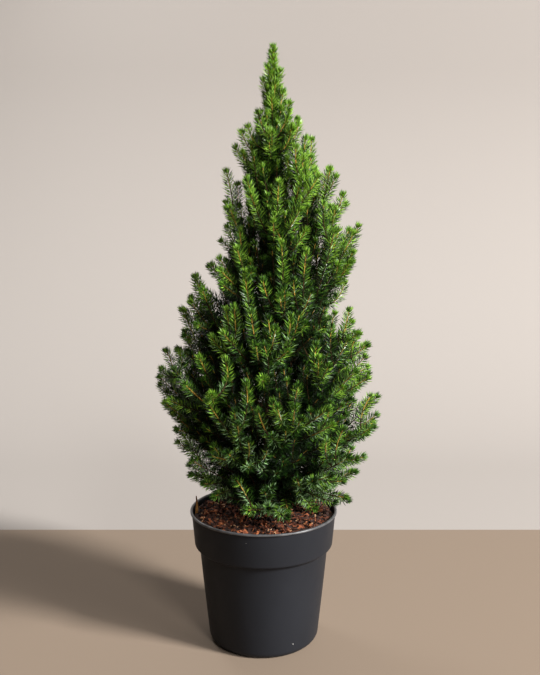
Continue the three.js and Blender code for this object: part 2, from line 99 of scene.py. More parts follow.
# Shoots that stand out, by where the camera sees them: x and y of the tip, x and y of the foot
SEEN = (
    (262, 75, 268, 98), (276, 77, 273, 104), (284, 87, 280, 110), (290, 107, 287, 122), (257, 110, 263, 132),
    (268, 127, 271, 170), (292, 122, 290, 168), (299, 120, 297, 150), (312, 135, 308, 156),
    (247, 123, 252, 150), (234, 143, 244, 172), (246, 175, 256, 214), (225, 167, 236, 206),
    (300, 181, 294, 214), (316, 167, 310, 204), (331, 165, 322, 208), (344, 190, 338, 216),
    (274, 210, 275, 240), (225, 204, 234, 222), (226, 224, 238, 250), (239, 226, 243, 262),
    (360, 222, 346, 258), (355, 248, 342, 272), (281, 238, 284, 274), (307, 247, 303, 272),
    (262, 275, 266, 306), (293, 275, 294, 310), (284, 283, 286, 320), (300, 309, 297, 336),
    (291, 311, 290, 345), (267, 313, 271, 334), (225, 305, 231, 338), (233, 302, 237, 330),
    (244, 267, 247, 296), (211, 262, 221, 292), (195, 273, 206, 310), (190, 295, 203, 322),
    (180, 306, 196, 338), (350, 306, 343, 340), (358, 335, 344, 354), (370, 342, 350, 364),
    (209, 333, 220, 354), (262, 340, 276, 374), (318, 340, 311, 364), (164, 347, 176, 366),
    (177, 348, 192, 374), (224, 355, 236, 388), (160, 367, 178, 392), (318, 353, 319, 386),
    (245, 378, 251, 406), (272, 397, 276, 422), (295, 403, 293, 427), (234, 407, 236, 432),
    (257, 407, 263, 432), (205, 397, 216, 418), (285, 425, 288, 452), (247, 437, 255, 466),
    (268, 445, 267, 480), (212, 443, 225, 472), (233, 475, 251, 500), (296, 478, 305, 496),
    (264, 490, 267, 497), (215, 490, 230, 500), (373, 393, 350, 422), (380, 412, 358, 428),
    (368, 455, 332, 470), (350, 498, 316, 494), (370, 365, 346, 382), (175, 427, 198, 450),
    (175, 440, 206, 462), (186, 463, 216, 482), (170, 410, 188, 428), (290, 515, 284, 504),
    (277, 512, 272, 502), (304, 504, 296, 497), (330, 485, 316, 489), (330, 405, 327, 428),
    (338, 262, 334, 290), (332, 322, 328, 348), (345, 425, 334, 446), (327, 437, 322, 462),
    (241, 148, 250, 184), (296, 142, 293, 172), (306, 134, 301, 165), (303, 152, 301, 184),
    (311, 152, 307, 182), (324, 200, 321, 226), (336, 206, 330, 232), (350, 226, 340, 256),
    (346, 240, 336, 264), (340, 226, 333, 252), (158, 383, 178, 401), (240, 128, 248, 158),
    (353, 258, 340, 278), (266, 62, 272, 82), (281, 66, 277, 88), (271, 90, 273, 118),
)
STANDING = dict(proud=5.0, foot_proud=-3.0, points=9, bend_share=0.75, bend_feet=1.2,
                behind=90, behind_tries=6, behind_from=-0.1, behind_foot=30, behind_room=26.0,
                behind_ragged=9.0)
# Short twigs round the leader: from and to height, their spacing, and how they leave it and climb
CROWN_TOP = dict(seed=77, low=606, high=751, step=2.4, length=24.0, least=3.0, ragged=3.0, around=0.2,
                 inside=6.0, rise=68, climb_share=0.6, least_climb=6, bend_out=0.7, bend_up=0.3, bare=3.0)
# How far the leader's needles carry on above its stem's tip
LEADER_TUFT = 2.4
NEEDLE = dict(seed=20, length=11.6, widest=0.4, bend=0.10, sliver_bend=0.4, root_angle=66, tip_angle=34,
              angle_jitter=9, place_jitter=0.25, turn_jitter=0.25, lift=0.1, shares=(0.74, 1.08),
              foot_share=0.7, foot_stretch=20, tip_shorter=0.26, tip_stretch=8.0, root_out=0.35,
              into_tuft=0.75)
TUFT = dict(length=8.8, depths=(0.7, 1.0), least_angle=3, spread=38, angle_jitter=6, shares=(0.75, 1.08))
# How each kind of shoot is needled: spacing along it, the needles' width, how many end it, faces of a needle
NEEDLED = {"stem": (0.36, 1.2, 28, 6), "side": (0.36, 1.2, 26, 6), "standing": (0.36, 1.2, 28, 6),
           "outer": (0.44, 1.3, 20, 4), "inner": (0.8, 1.7, 12, 4), "core": (1.1, 2.2, 12, 4)}

# Bands of the crown, upwards, by their masses
BANDS = {"skirt": range(0, 7), "lower": range(7, 14), "middle": range(14, 21), "upper": range(21, 28),
         "top": range(28, 35)}


class Seeded:
    """The solids' own seeded rule."""

    def __init__(self, seed):
        self.state = seed

    def next(self):
        self.state = (self.state * 16807) % 2147483647
        return self.state / 2147483647

    def between(self, low, high):
        return low + (high - low) * self.next()


def mix(a, b, t):
    return a + (b - a) * t


def unit(v):
    return v / np.linalg.norm(v, axis=-1, keepdims=True)


def level(azimuth):
    """The level way out at an azimuth."""
    return np.array([math.cos(azimuth), math.sin(azimuth), 0])


def band_of(index):
    return next(name for name, members in BANDS.items() if index in members)


# ---- where things are ----

def trunk_centre(z):
    z = np.asarray(z, float)
    t = (z - TRUNK["foot_z"]) / (TRUNK["tip_z"] - TRUNK["foot_z"])
    bow = TRUNK["bow"] * np.sin(math.pi * np.minimum(t, 1))
    return np.stack([mix(TRUNK["foot_x"], TRUNK["tip_x"], t), bow, z], -1)


def trunk_radius(z):
    t = (z - TRUNK["foot_z"]) / (TRUNK["tip_z"] - TRUNK["foot_z"])
    flare = TRUNK["flare"] * math.exp((TRUNK["foot_z"] - z) / TRUNK["flare_height"])
    return mix(TRUNK["foot_radius"], TRUNK["tip_radius"], t) + flare


def crown_reach(z, azimuth, outline=CROWN):
    left = np.interp(z, outline[:, 0], outline[:, 1], left=0, right=0)
    right = np.interp(z, outline[:, 0], outline[:, 2], left=0, right=0)
    return (left + right) / 2 + (right - left) / 2 * np.cos(azimuth)


def even_heights():
    z = np.arange(SPIRAL["low_z"], SPIRAL["high_z"])
    weight = 1 + SPIRAL["skirt"] * np.exp((SPIRAL["low_z"] - z) / SPIRAL["skirt_height"])
    sums = np.concatenate([[0], np.cumsum(weight * crown_reach(z, math.pi / 2))])
    goals = (np.arange(SPIRAL["count"]) + 0.5) / SPIRAL["count"] * sums[-1]
    return SPIRAL["low_z"] + np.searchsorted(sums, goals)


def depth_in_crown(points, outline=CROWN):
    off = points[..., :2] - trunk_centre(points[..., 2])[..., :2]
    reach = crown_reach(points[..., 2], np.arctan2(off[..., 1], off[..., 0]), outline)
    return reach - np.hypot(off[..., 0], off[..., 1])


# ---- boughs and stems ----

def up_crown(z):
    """How far up the spiral of masses a height is, from 0 to 1."""
    return (z - SPIRAL["low_z"]) / (SPIRAL["high_z"] - SPIRAL["low_z"])


def limb_line(z, azimuth):
    reach = float(crown_reach(z, azimuth))
    angle = math.radians(RISE["low_angle"] + RISE["per_millimetre"] * (z - SPIRAL["low_z"]))
    foot = trunk_centre(max(RISE["low_foot_z"], z - reach * math.tan(angle)))
    tip = trunk_centre(z) + reach * level(azimuth)
    sag = mix(SWEEP["low_sag"], SWEEP["high_sag"], up_crown(z))
    return foot, mix(foot, tip, SWEEP["along"]) - [0, 0, sag * reach], tip


def points_on(line, start, end, count):
    foot, bend, tip = line
    t = np.linspace(start, end, count)[:, None]
    return mix(mix(foot, bend, t), mix(bend, tip, t), t)


def path_length(points):
    return float(np.linalg.norm(np.diff(points, axis=0), axis=1).sum())


def point_along(points, t):
    place = t * (len(points) - 1)
    i = min(len(points) - 2, int(place))
    return mix(points[i], points[i + 1], place - i), unit(points[i + 1] - points[i])


def sideways(tangent):
    helper = np.array([1.0, 0, 0]) if abs(tangent[2]) > 0.9 else np.array([0, 0, 1.0])
    n1 = unit(np.cross(helper, tangent))
    return n1, np.cross(tangent, n1)


# ---- keeping to its own space ----

def distances(points, starts, ends):
    """From each point to each stretch of line."""
    along = ends - starts
    off = points[:, None, :] - starts[None]
    share = np.clip((off * along).sum(-1) / (along * along).sum(-1), 0, 1)
    return np.linalg.norm(off - share[..., None] * along, axis=-1)


class Tree:
    """All the stems and bare limbs, as stretches of line."""

    def __init__(self, masses):
        self.masses = masses
        stems = np.array([m["stem"] for m in masses])
        self.stem_a, self.stem_b = stems[:, :-1].reshape(-1, 3), stems[:, 1:].reshape(-1, 3)
        trunk = trunk_centre(np.linspace(TRUNK["foot_z"], TRUNK["tip_z"], TRUNK["rings"] + 1))
        limbs = [(trunk, TRUNK["foot_radius"])]
        limbs += [(m["bough"], BOUGH["foot_radius"]) for m in masses if m["bough"] is not None]
        self.limb_a = np.concatenate([points[:-1] for points, _ in limbs])
        self.limb_b = np.concatenate([points[1:] for points, _ in limbs])
        self.limb_radius = np.concatenate([np.full(len(points) - 1, radius) for points, radius in limbs])

    def room(self, points, mass):
        """How much room each point has inside the mass's own space."""
        to_stems = distances(points, self.stem_a, self.stem_b)
        to_stems = to_stems.reshape(len(points), len(self.masses), -1).min(2)
        own = to_stems[:, mass["index"]].copy()
        to_stems[:, mass["index"]] = np.inf
        to_limbs = (distances(points, self.limb_a, self.limb_b) - self.limb_radius).min(1)
        return np.minimum((to_stems.min(1) - own) / 2, to_limbs) - CLEAR


# ---- hearts: the space that each mass's side shoots stand out of ----

def corner_reach(at, heading, least, wanted, mass, tree):
    radii = np.arange(HEART["root_radius"], wanted + 1e-9, HEART["step"])
    if not len(radii):
        return least
    corners = at + radii[:, None] * heading
    blocked = (depth_in_crown(corners) < mass["stand_out"]) | (corners[:, 2] < HEART["lowest_z"])
    blocked |= tree.room(corners, mass) < HEART["margin"]
    first = int(np.argmax(blocked)) if blocked.any() else len(radii)
    return radii[first - 1] if first else least


def grow_heart(mass, tree):
    heart = []
    for i in range(HEART["rings"]):
        share = i / (HEART["rings"] - 1)
        at, tangent = point_along(mass["stem"], mix(HEART["start"], HEART["end"], share))
        grown = share / HEART["widest"] if share < HEART["widest"] else (1 - share) / (1 - HEART["widest"])
        wanted = mix(HEART["root_radius"], HEART["radius"], math.sqrt(max(grown, 0)))
        n1, n2 = sideways(tangent)
        least = SHOOT["core_radius"] if share < HEART["needled_from"] else SHOOT["needle"]
        radii = []
        for j in range(HEART["corners"]):
            turn = j / HEART["corners"] * 2 * math.pi
            radius = corner_reach(at, n1 * math.cos(turn) + n2 * math.sin(turn), least, wanted, mass, tree)
            radii.append(radius * (1 if (i + 1 + j) % 2 == 0 else HEART["dent"]))
        heart.append((at, sum(radii) / HEART["corners"]))
    return heart


# ---- the source's side shoots ----

def comes_out(root, heading, heart):
    steps = SHOOT["core_radius"] + np.arange(SHOOT["furthest"])
    points = root + steps[:, None] * heading
    inside = np.zeros(len(steps), bool)
    for at, mean in heart:
        inside |= np.linalg.norm(points - at, axis=1) < mean
    return float(steps[int(np.argmin(inside))])


def least_rise(z):
    share = min(1, (z - SPIRAL["low_z"]) / LATERALS["rise_height"])
    return mix(LATERALS["low_rise"], LATERALS["high_rise"], share)


def try_side_shoot(mass, random):
    spread = LATERALS["spread"]
    tip_z = mass["z"] + random.between(-spread, spread)
    turn = random.between(-spread, spread) / max(mass["reach"], LATERALS["least_reach"])
    root, tangent = point_along(mass["stem"], random.between(LATERALS["near_root"], LATERALS["near_tip"]))
    azimuth = mass["azimuth"] + turn
    reach = float(crown_reach(tip_z, azimuth))
    tip = trunk_centre(tip_z) + reach * level(azimuth)
    length = float(np.linalg.norm(tip - root))
    heading = (tip - root) / length
    fork = float(tangent @ heading)
    if not LATERALS["least_along"] <= fork <= LATERALS["most_along"] or heading[2] < least_rise(tip_z):
        return None
    bare = comes_out(root, heading, mass["heart"])
    if not LATERALS["shortest"] <= length - bare <= LATERALS["longest"] or tip_z < LATERALS["lowest_z"]:
        return None
    return dict(points=np.array([root, tip]), length=length, bare=bare)


def is_free(shoot, mass, tree):
    steps = math.ceil((shoot["length"] - shoot["bare"]) / LATERALS["step"])
    places = np.linspace(shoot["bare"], shoot["length"], steps + 1)
    root, tip = shoot["points"]
    points = root + (tip - root) * (places / shoot["length"])[:, None]
    if (tree.room(points, mass) < LATERALS["room"]).any():
        return False
    past = points[places > shoot["bare"] + LATERALS["fork_room"]]
    kin = [mass["stem"]] + [kin_shoot["points"] for kin_shoot in mass["side_shoots"]]
    return all((distances(past, line[:-1], line[1:]).min(1) >= mass["kin_room"]).all() for line in kin)


def best_side_shoot(mass, tree, marks, random):
    tried = [try_side_shoot(mass, random) for _ in range(LATERALS["tries"])]
    found = [shoot for shoot in tried if shoot]
    spots = np.array(marks)
    rooms = [float(np.linalg.norm(spots - shoot["points"][1], axis=1).min()) for shoot in found]
    for k in sorted(range(len(found)), key=lambda n: -rooms[n]):
        if is_free(found[k], mass, tree):
            return found[k]
    return None


def marks_of(points):
    return [points[-1], mix(points[0], points[-1], LATERALS["watch"])]


def add_side_shoots(tree):
    marks = [mark for mass in tree.masses for mark in marks_of(mass["stem"])]
    random = Seeded(SEED)
    for _ in range(LATERALS["rounds"]):
        for mass in tree.masses:
            shoot = best_side_shoot(mass, tree, marks, random)
            if shoot:
                mass["side_shoots"].append(shoot)
                marks += marks_of(shoot["points"])


# ---- the tree ----

def grow_mass(z, i):
    azimuth = math.radians(SPIRAL["phase"] + i * SPIRAL["turn"])
    line = limb_line(z, azimuth)
    on_bough = i < SPIRAL["boughs"]
    gap = CLEAR / path_length(points_on(line, 0, 1, STEM_POINTS))
    stem = points_on(line, BOUGH["share"] + gap if on_bough else 0, 1, STEM_POINTS)
    bough = points_on(line, 0, BOUGH["share"], BOUGH["rings"] + 1) if on_bough else None
    return dict(index=i, node=f"foliage_{i + 1:02d}", z=z, azimuth=azimuth, stem=stem, bough=bough,
                reach=float(crown_reach(z, azimuth)), stand_out=HEART["stand_out"],
                kin_room=LATERALS["kin_room"], side_shoots=[])


def grow_leader():
    foot = trunk_centre(TRUNK["tip_z"] + CLEAR)
    tip = np.array([LEADER["tip_x"], 0, LEADER["tip_z"]], float)
    stem = points_on((foot, (foot + tip) / 2, tip), 0, 1, STEM_POINTS)
    return dict(index=SPIRAL["count"], node="leader_foliage", z=LEADER["side_z"], azimuth=0, stem=stem,
                bough=None, reach=0, stand_out=LEADER["stand_out"], kin_room=LEADER["kin_room"],
                side_shoots=[])


def grow_tree():
    masses = [grow_mass(float(z), i) for i, z in enumerate(even_heights())] + [grow_leader()]
    tree = Tree(masses)
    for mass in masses:
        mass["heart"] = grow_heart(mass, tree)
    add_side_shoots(tree)
    return tree


# ---- finer twigs ----

def bowed(points, length):
    """A side shoot's line, leaving low and turning up a little."""
    root, tip = points
    middle = (root + tip) / 2 - [0, 0, SIDE_SAG * length]
    return points_on((root, middle, tip), 0, 1, FINE["points"])


def shoot_of(points, first, kind, mass):
    """A needled shoot: its line, where its needles begin, its kind and the mass that it belongs to."""
    return dict(points=points, length=path_length(points), first=first, kind=kind, mass=mass)


class Forks:
    """Places that a new twig can leave from."""

    def __init__(self):
        self.at, self.way, self.mass = np.empty((0, 3)), np.empty((0, 3)), np.empty(0, int)

    def add(self, shoot, start, end):
        places = np.arange(start, end * shoot["length"], FORK["gap"])
        if not len(places):
            return
        at, way, *_ = line_frames(shoot["points"], places)
        self.at, self.way = np.concatenate([self.at, at]), np.concatenate([self.way, way])
        self.mass = np.concatenate([self.mass, np.full(len(places), shoot["mass"])])

    def best_for(self, tip, heading):
        """The fork that suits a twig with this tip and heading."""
        off = tip - self.at
        length = np.linalg.norm(off, axis=1)
        way = off / length[:, None]
        cost = np.abs(length - FINE["length"]) / FINE["length"] + FORK["heading_cost"] * (1 - way @ heading)
        cost += np.maximum(0, FORK["least_fork"] - (way * self.way).sum(1))
        fits = (length >= FINE["shortest"]) & (length <= FINE["longest"])
        cost[~fits | (way @ heading < FORK["least_true"])] = FORK["never"]
        k = int(np.argmin(cost))
        return (k, float(length[k])) if cost[k] < FORK["never"] else (None, 0)


def rise_at(z):
    """How steeply twigs climb: almost level over the pot, nearly upright in the crown."""
    return math.radians(float(np.interp(z, *FINE["rise"])))


def surface_targets(count, depth, ragged, random):
    """Twig tips spread evenly over the crown, at a depth under its surface, each with its azimuth."""
    z = np.arange(FINE["lowest_tip"], LEADER["tip_z"] - FINE["below_top"])
    reach = np.maximum(crown_reach(z, math.pi / 2, BODY) - depth, 0)
    sums = np.cumsum(reach + FINE["top_share"] * (z > FINE["top_from"]) * (reach > 0))
    targets = []
    for i in range(count):
        height = float(z[np.searchsorted(sums, (i + random.next()) / count * sums[-1])])
        azimuth = i * GOLDEN_ANGLE + random.between(-FINE["around"], FINE["around"])
        inward = depth + ragged * random.next() ** FINE["ragged_power"]
        far = float(crown_reach(height, azimuth, BODY)) - inward
        if far >= FINE["least_reach"]:
            targets.append((trunk_centre(height) + far * level(azimuth), azimuth))
    return targets


def twig_heading(tip, azimuth, random):
    jitter = FINE["jitter"]
    rise = rise_at(tip[2]) + math.radians(random.between(-jitter, jitter) * FINE["rise_jitter"])
    turn = azimuth + math.radians(random.between(-jitter, jitter) * FINE["turn_jitter"])
    return np.array([math.cos(rise) * math.cos(turn), math.cos(rise) * math.sin(turn), math.sin(rise)])


def seen_point(seen_x, seen_y, proud):
    """The place on the crown that the camera sees there, or the nearest to it on the line of sight."""
    pitch = math.radians(CAMERA["pitch"])
    right = (seen_x - CAMERA["width"] / 2) / CAMERA["focal"]
    up = (CAMERA["height"] / 2 - seen_y) / CAMERA["focal"]
    way = np.array([right, math.cos(pitch) + up * math.sin(pitch), up * math.cos(pitch) - math.sin(pitch)])
    points = np.array(CAMERA["at"]) + np.arange(*CAMERA["sight"])[:, None] * way
    depth = depth_in_crown(points, BODY) + proud
    return points[int(np.argmax(depth > 0)) if (depth > 0).any() else int(np.argmax(depth))]


def standing_twig(forks, tip, foot):
    """A long twig that stands out of the crown, coming out of it at its foot."""
    heading = unit(tip - foot)
    k, length = forks.best_for(tip, heading)
    if k is None:
        return None
    root = forks.at[k]
    straight = min(length * STANDING["bend_share"], STANDING["bend_feet"] * float(np.linalg.norm(tip - foot)))
    line = points_on((root, tip - heading * straight, tip), 0, 1, STANDING["points"])
    if line[:, 2].min() < FINE["lowest_z"]:
        return None
    return shoot_of(line, FINE["bare"], "standing", int(forks.mass[k]))


def has_room(tip, tips, room):
    return not len(tips) or np.linalg.norm(tips - tip, axis=1).min() >= room


def standing_twigs(forks, random):
    """Those that the camera sees, and others like them round the far side."""
    grown = []
    for tip_x, tip_y, foot_x, foot_y in SEEN:
        tip = seen_point(tip_x, tip_y, STANDING["proud"])
        foot = seen_point(foot_x, foot_y, STANDING["foot_proud"])
        twig = standing_twig(forks, tip, foot)
        if twig:
            grown.append(twig)
    tips = np.array([twig["points"][-1] for twig in grown])
    ragged = STANDING["behind_ragged"]
    count = STANDING["behind"] * STANDING["behind_tries"]
    for tip, azimuth in surface_targets(count, -STANDING["proud"] - ragged, ragged, random):
        in_front = math.sin(azimuth) < STANDING["behind_from"]
        if in_front or not has_room(tip, tips, STANDING["behind_room"]):
            continue
        foot = tip - STANDING["behind_foot"] * twig_heading(tip, azimuth, random)
        twig = standing_twig(forks, tip, foot)
        if twig:
            grown.append(twig)
            tips = np.vstack([tips, tip])
    return grown


def grow_layer(forks, layer, standing, random):
    """One layer of twigs, each from the fork that suits it to its place in the crown."""
    count, depth, ragged, kind, tip_room = layer
    grown, tips = [], np.array([twig["points"][-1] for twig in standing])
    for tip, azimuth in surface_targets(count, depth, ragged, random):
        if not has_room(tip, tips, tip_room):
            continue
        heading = twig_heading(tip, azimuth, random)
        k, length = forks.best_for(tip, heading)
        if k is None:
            continue
        root = forks.at[k]
        line = points_on((root, tip - heading * length * FINE["bend"], tip), 0, 1, FINE["points"])
        if line[1:, 2].min() < FINE["lowest_z"]:
            continue
        twig = shoot_of(line, FINE["bare"], kind, int(forks.mass[k]))
        forks.add(twig, *FORKED["layer"])
        grown.append(twig)
        tips = np.vstack([tips, tip])
    return grown


def on_stem(stem, z):
    """The place on a stem at a height."""
    return np.array([np.interp(z, stem[:, 2], stem[:, k]) for k in range(3)])


def crown_top(leader):
    """Short upright twigs that fill out the leader, round and round up to its tip."""
    top = CROWN_TOP
    random = Seeded(top["seed"])
    stem = leader["stem"]
    grown = []
    for i, z in enumerate(np.arange(top["low"], top["high"], top["step"])):
        azimuth = i * GOLDEN_ANGLE + random.between(-top["around"], top["around"])
        reach = float(crown_reach(z, azimuth)) - top["ragged"] * random.next()
        out = max(top["least"], min(reach - top["inside"], top["length"]))
        tip = [*on_stem(stem, z)[:2], z] + out * level(azimuth)
        climb = out * math.tan(math.radians(top["rise"])) * top["climb_share"] + top["least_climb"]
        root = on_stem(stem, max(z - climb, stem[0, 2]))
        bend = root + top["bend_out"] * out * level(azimuth) + [0, 0, top["bend_up"] * (z - root[2])]
        line = points_on((root, bend, tip), 0, 1, FINE["points"])
        grown.append(shoot_of(line, top["bare"], "outer", leader["index"]))
    return grown


def own_shoots(mass):
    """The stem of a mass and its side shoots, as the solids have them."""
    on_trunk = mass["bough"] is None and mass["node"] != "leader_foliage"
    first = TRUNK["foot_radius"] + BARE_FOOT["past_trunk"] if on_trunk else BARE_FOOT["stem"]
    line = mass["stem"]
    if mass["node"] == "leader_foliage":
        line = line + np.linspace(0, LEADER_TUFT, STEM_POINTS)[:, None] * [0, 0, 1]
    return [shoot_of(line, first, "stem", mass["index"])] + [
        shoot_of(bowed(side["points"], side["length"]), BARE_FOOT["side"], "side", mass["index"])
        for side in mass["side_shoots"]]


def all_shoots(tree):
    random = Seeded(FINE["seed"])
    forks = Forks()
    own = [shoot for mass in tree.masses for shoot in own_shoots(mass)]
    for shoot in own:
        forks.add(shoot, shoot["first"], FORKED["own"])
    own += crown_top(tree.masses[-1])
    standing = standing_twigs(forks, random)
    for twig in standing:
        forks.add(twig, *FORKED["standing"])
    return own + standing + [twig for layer in LAYERS for twig in grow_layer(forks, layer, standing, random)]


# ---- joined meshes from arrays ----

def joined_mesh(name, shapes, finish, nodes):
    """One piece out of many small closed shapes, given in millimetres."""
    points, triangles = np.concatenate(shapes.points), np.concatenate(shapes.triangles)
    mesh = bpy.data.meshes.new(name)
    mesh.vertices.add(len(points))
    mesh.vertices.foreach_set("co", (np.asarray(points, np.float32) * MM).ravel())
    count = len(triangles)
    mesh.loops.add(count * 3)
    mesh.loops.foreach_set("vertex_index", np.asarray(triangles, np.int32).ravel())
    mesh.polygons.add(count)
    mesh.polygons.foreach_set("loop_start", np.arange(0, count * 3, 3, dtype=np.int32))
    mesh.polygons.foreach_set("use_smooth", np.full(count, False))
    mesh.update(calc_edges=True)
    mesh.materials.append(finish)
    piece = bpy.data.objects.new(name, mesh)
    bpy.context.collection.objects.link(piece)
    declare(piece, nodes)


def declare(piece, nodes):
    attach(piece, "root")
    if nodes:
        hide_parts(*nodes)


class Shapes:
    """Points and triangles that gather into one joined mesh."""

    def __init__(self):
        self.points, self.triangles, self.count = [], [], 0

    def add(self, points, triangles):
        self.points.append(points)
        self.triangles.append(triangles + self.count)
        self.count += len(points)


# ---- needles ----

# A needle: root, three points round its widest place, sharp tip; a core one is a sliver of four faces
NEEDLE_FACES = np.array([[0, 2, 1], [0, 3, 2], [0, 1, 3], [1, 2, 4], [2, 3, 4], [3, 1, 4]])
SLIVER_FACES = np.array([[0, 2, 1], [1, 2, 3], [0, 1, 3], [0, 3, 2]])


def needle_shapes(roots, headings, lengths, inner, width):
    """All the needles of one kind: inner is the way back to the shoot, to which they bend."""
    across = unit(np.cross(headings, inner))
    back = np.cross(across, headings)
    middle = roots + headings * (lengths * NEEDLE["widest"])[:, None]
    middle = middle - inner * (lengths * NEEDLE["bend"])[:, None]
    half = width / 2
    corners = [middle + half * (math.cos(a) * across + math.sin(a) * back)
               for a in (0, 2 * math.pi / 3, 4 * math.pi / 3)]
    tips = roots + headings * lengths[:, None]
    points = np.stack([roots, *corners, tips], 1).reshape(-1, 3)
    triangles = (NEEDLE_FACES[None] + 5 * np.arange(len(roots))[:, None, None]).reshape(-1, 3)
    return points, triangles


def sliver_shapes(roots, headings, lengths, inner, width):
    """Plainer needles for the shoots further in."""
    across = unit(np.cross(headings, inner))
    middle = roots + headings * (lengths * NEEDLE["widest"])[:, None]
    middle = middle - inner * (NEEDLE["sliver_bend"] * width)
    half = width / 2
    tips = roots + headings * lengths[:, None]
    points = np.stack([roots, middle - half * across, middle + half * across, tips], 1).reshape(-1, 3)
    triangles = (SLIVER_FACES[None] + 4 * np.arange(len(roots))[:, None, None]).reshape(-1, 3)
    return points, triangles


def line_frames(points, places):
    """Places along a line: where they are, the way on, and two ways across."""
    spans = np.linalg.norm(np.diff(points, axis=0), axis=1)
    ends = np.concatenate([[0], np.cumsum(spans)])
    at = np.stack([np.interp(places, ends, points[:, k]) for k in range(3)], 1)
    tangents = unit(np.diff(points, axis=0))
    which = np.clip(np.searchsorted(ends, places) - 1, 0, len(spans) - 1)
    tangent = tangents[which]
    helper = sideways(tangents[0])[0]
    n1 = unit(helper - (tangent @ helper)[:, None] * tangent)
    return at, tangent, n1, np.cross(tangent, n1)


def round_needles(shoot, places, rng):
    """Where needles leave a shoot, the shoot's frame there, and each one's turn in a golden spiral."""
    at, tangent, n1, n2 = line_frames(shoot["points"], places)
    turn = np.arange(len(places)) * GOLDEN_ANGLE + rng.uniform(0, ANY_TURN)
    return at, tangent, n1, n2, turn


def across_at(n1, n2, turn):
    return n1 * np.cos(turn)[:, None] + n2 * np.sin(turn)[:, None]


def between_ways(along, out, angle):
    return along * np.cos(angle)[:, None] + out * np.sin(angle)[:, None]


def shaft_needles(shoot, rng):
    """Needles in a spiral from the shoot's foot to its tuft."""
    end = shoot["length"] - TUFT["length"] * NEEDLE["into_tuft"]
    places = np.arange(shoot["first"], end, NEEDLED[shoot["kind"]][0])
    if not len(places):
        return None
    count = len(places)
    places = places + rng.uniform(-NEEDLE["place_jitter"], NEEDLE["place_jitter"], count)
    at, tangent, n1, n2, turn = round_needles(shoot, places, rng)
    radial = across_at(n1, n2, turn + rng.uniform(-NEEDLE["turn_jitter"], NEEDLE["turn_jitter"], count))
    to_tip = end - places
    near_tip = np.exp(-to_tip / NEEDLE["tip_stretch"])
    lean = mix(NEEDLE["root_angle"], NEEDLE["tip_angle"], near_tip)
    lean += rng.uniform(-NEEDLE["angle_jitter"], NEEDLE["angle_jitter"], count)
    headings = unit(between_ways(tangent, radial, np.radians(lean)) + [0, 0, NEEDLE["lift"]])
    lengths = NEEDLE["length"] * rng.uniform(*NEEDLE["shares"], count)
    lengths *= 1 - NEEDLE["tip_shorter"] * near_tip
    lengths *= np.minimum(1, NEEDLE["foot_share"] + (places - shoot["first"]) / NEEDLE["foot_stretch"])
    return at + radial * NEEDLE["root_out"], headings, lengths, -radial, to_tip


def tuft_needles(shoot, rng):
    """The brush of young needles that ends a shoot."""
    count = NEEDLED[shoot["kind"]][2]
    places = shoot["length"] - TUFT["length"] * rng.uniform(*TUFT["depths"], count)
    at, tangent, n1, n2, turn = round_needles(shoot, places, rng)
    radial = across_at(n1, n2, turn)
    lean = TUFT["least_angle"] + TUFT["spread"] * np.sqrt(np.linspace(1, 0, count))
    lean += rng.uniform(-TUFT["angle_jitter"], TUFT["angle_jitter"], count)
    headings = unit(between_ways(tangent, radial, np.radians(lean)))
    return at, headings, TUFT["length"] * rng.uniform(*TUFT["shares"], count), -radial


# Tints of needles, from the oldest growth to the youngest, and pale on some: deep also carries painted shade
# deep in the crown, and pale is painted glints on shaft needles and the bluish colour of low tips
TINTS = ("deep", "green", "fresh", "tip", "pale")
TIP, PALE = TINTS.index("tip"), TINTS.index("pale")
# How long the young end of a shoot is, and how strongly the shoot grows, from and to
YOUNG = {"stem": 20.0, "side": 20.0, "standing": 24.0, "outer": 12.0, "inner": 4.0, "core": 0.0}
VIGOUR = {"stem": (0.7, 1.5), "side": (0.6, 1.4), "standing": (0.8, 1.6), "outer": (0.2, 1.1),
          "inner": (0.1, 0.8), "core": (0.0, 0.5)}
# Needles are darkened with depth inside the crown (fall, over to_depth) as painted shade; pale_share is the
# share of painted glints by height
SHADE = dict(to_depth=24.0, base=0.3, by_vigour=0.5, by_youth=0.9, fall=2.0, mottle=1.35, tuft_mottle=1.0,
             pale_share=([180, 240, 320, 760], [0.30, 0.26, 0.13, 0.06]), pale_inside=0.4,
             pale_below=310.0, pale_tips=0.75)
# A tuft's brightest tint by the strength of its growth with the painted light of its place added in
TUFT_BEST = ((1.05, 3.3), (0.55, 2.2), (-math.inf, 1.1))
# Painted light and shade by height: needles are painted darker low on the crown and lighter towards the top
PAINTED_LIGHT_BY_HEIGHT = ([190, 250, 300, 470, 560, 640, 720], [-0.6, -0.25, -0.05, 0.1, 0.7, 1.5, 2.3])
# Painted shade in parts of the crown: where it is, how wide, and how much darker its needles are painted
PAINTED_SHADE_POCKETS = ((0.0, -100.0, 287.0, 48.0, 1.6), (61.0, -70.0, 442.0, 38.0, 1.0), (10.0, -85.0, 448.0, 40.0, 0.7),
           (40.0, -100.0, 240.0, 44.0, 0.5))


def painted_light_at(point):
    """Painted light and shade: needles are painted lighter towards the top of the tree and darker low down,
    and darker in the painted-shade pockets.
    """
    fresh = float(np.interp(point[2], *PAINTED_LIGHT_BY_HEIGHT))
    for x, y, z, wide, share in PAINTED_SHADE_POCKETS:
        off = (point - np.array([x, y, z])) / wide
        fresh -= share * math.exp(-float(off @ off))
    return fresh


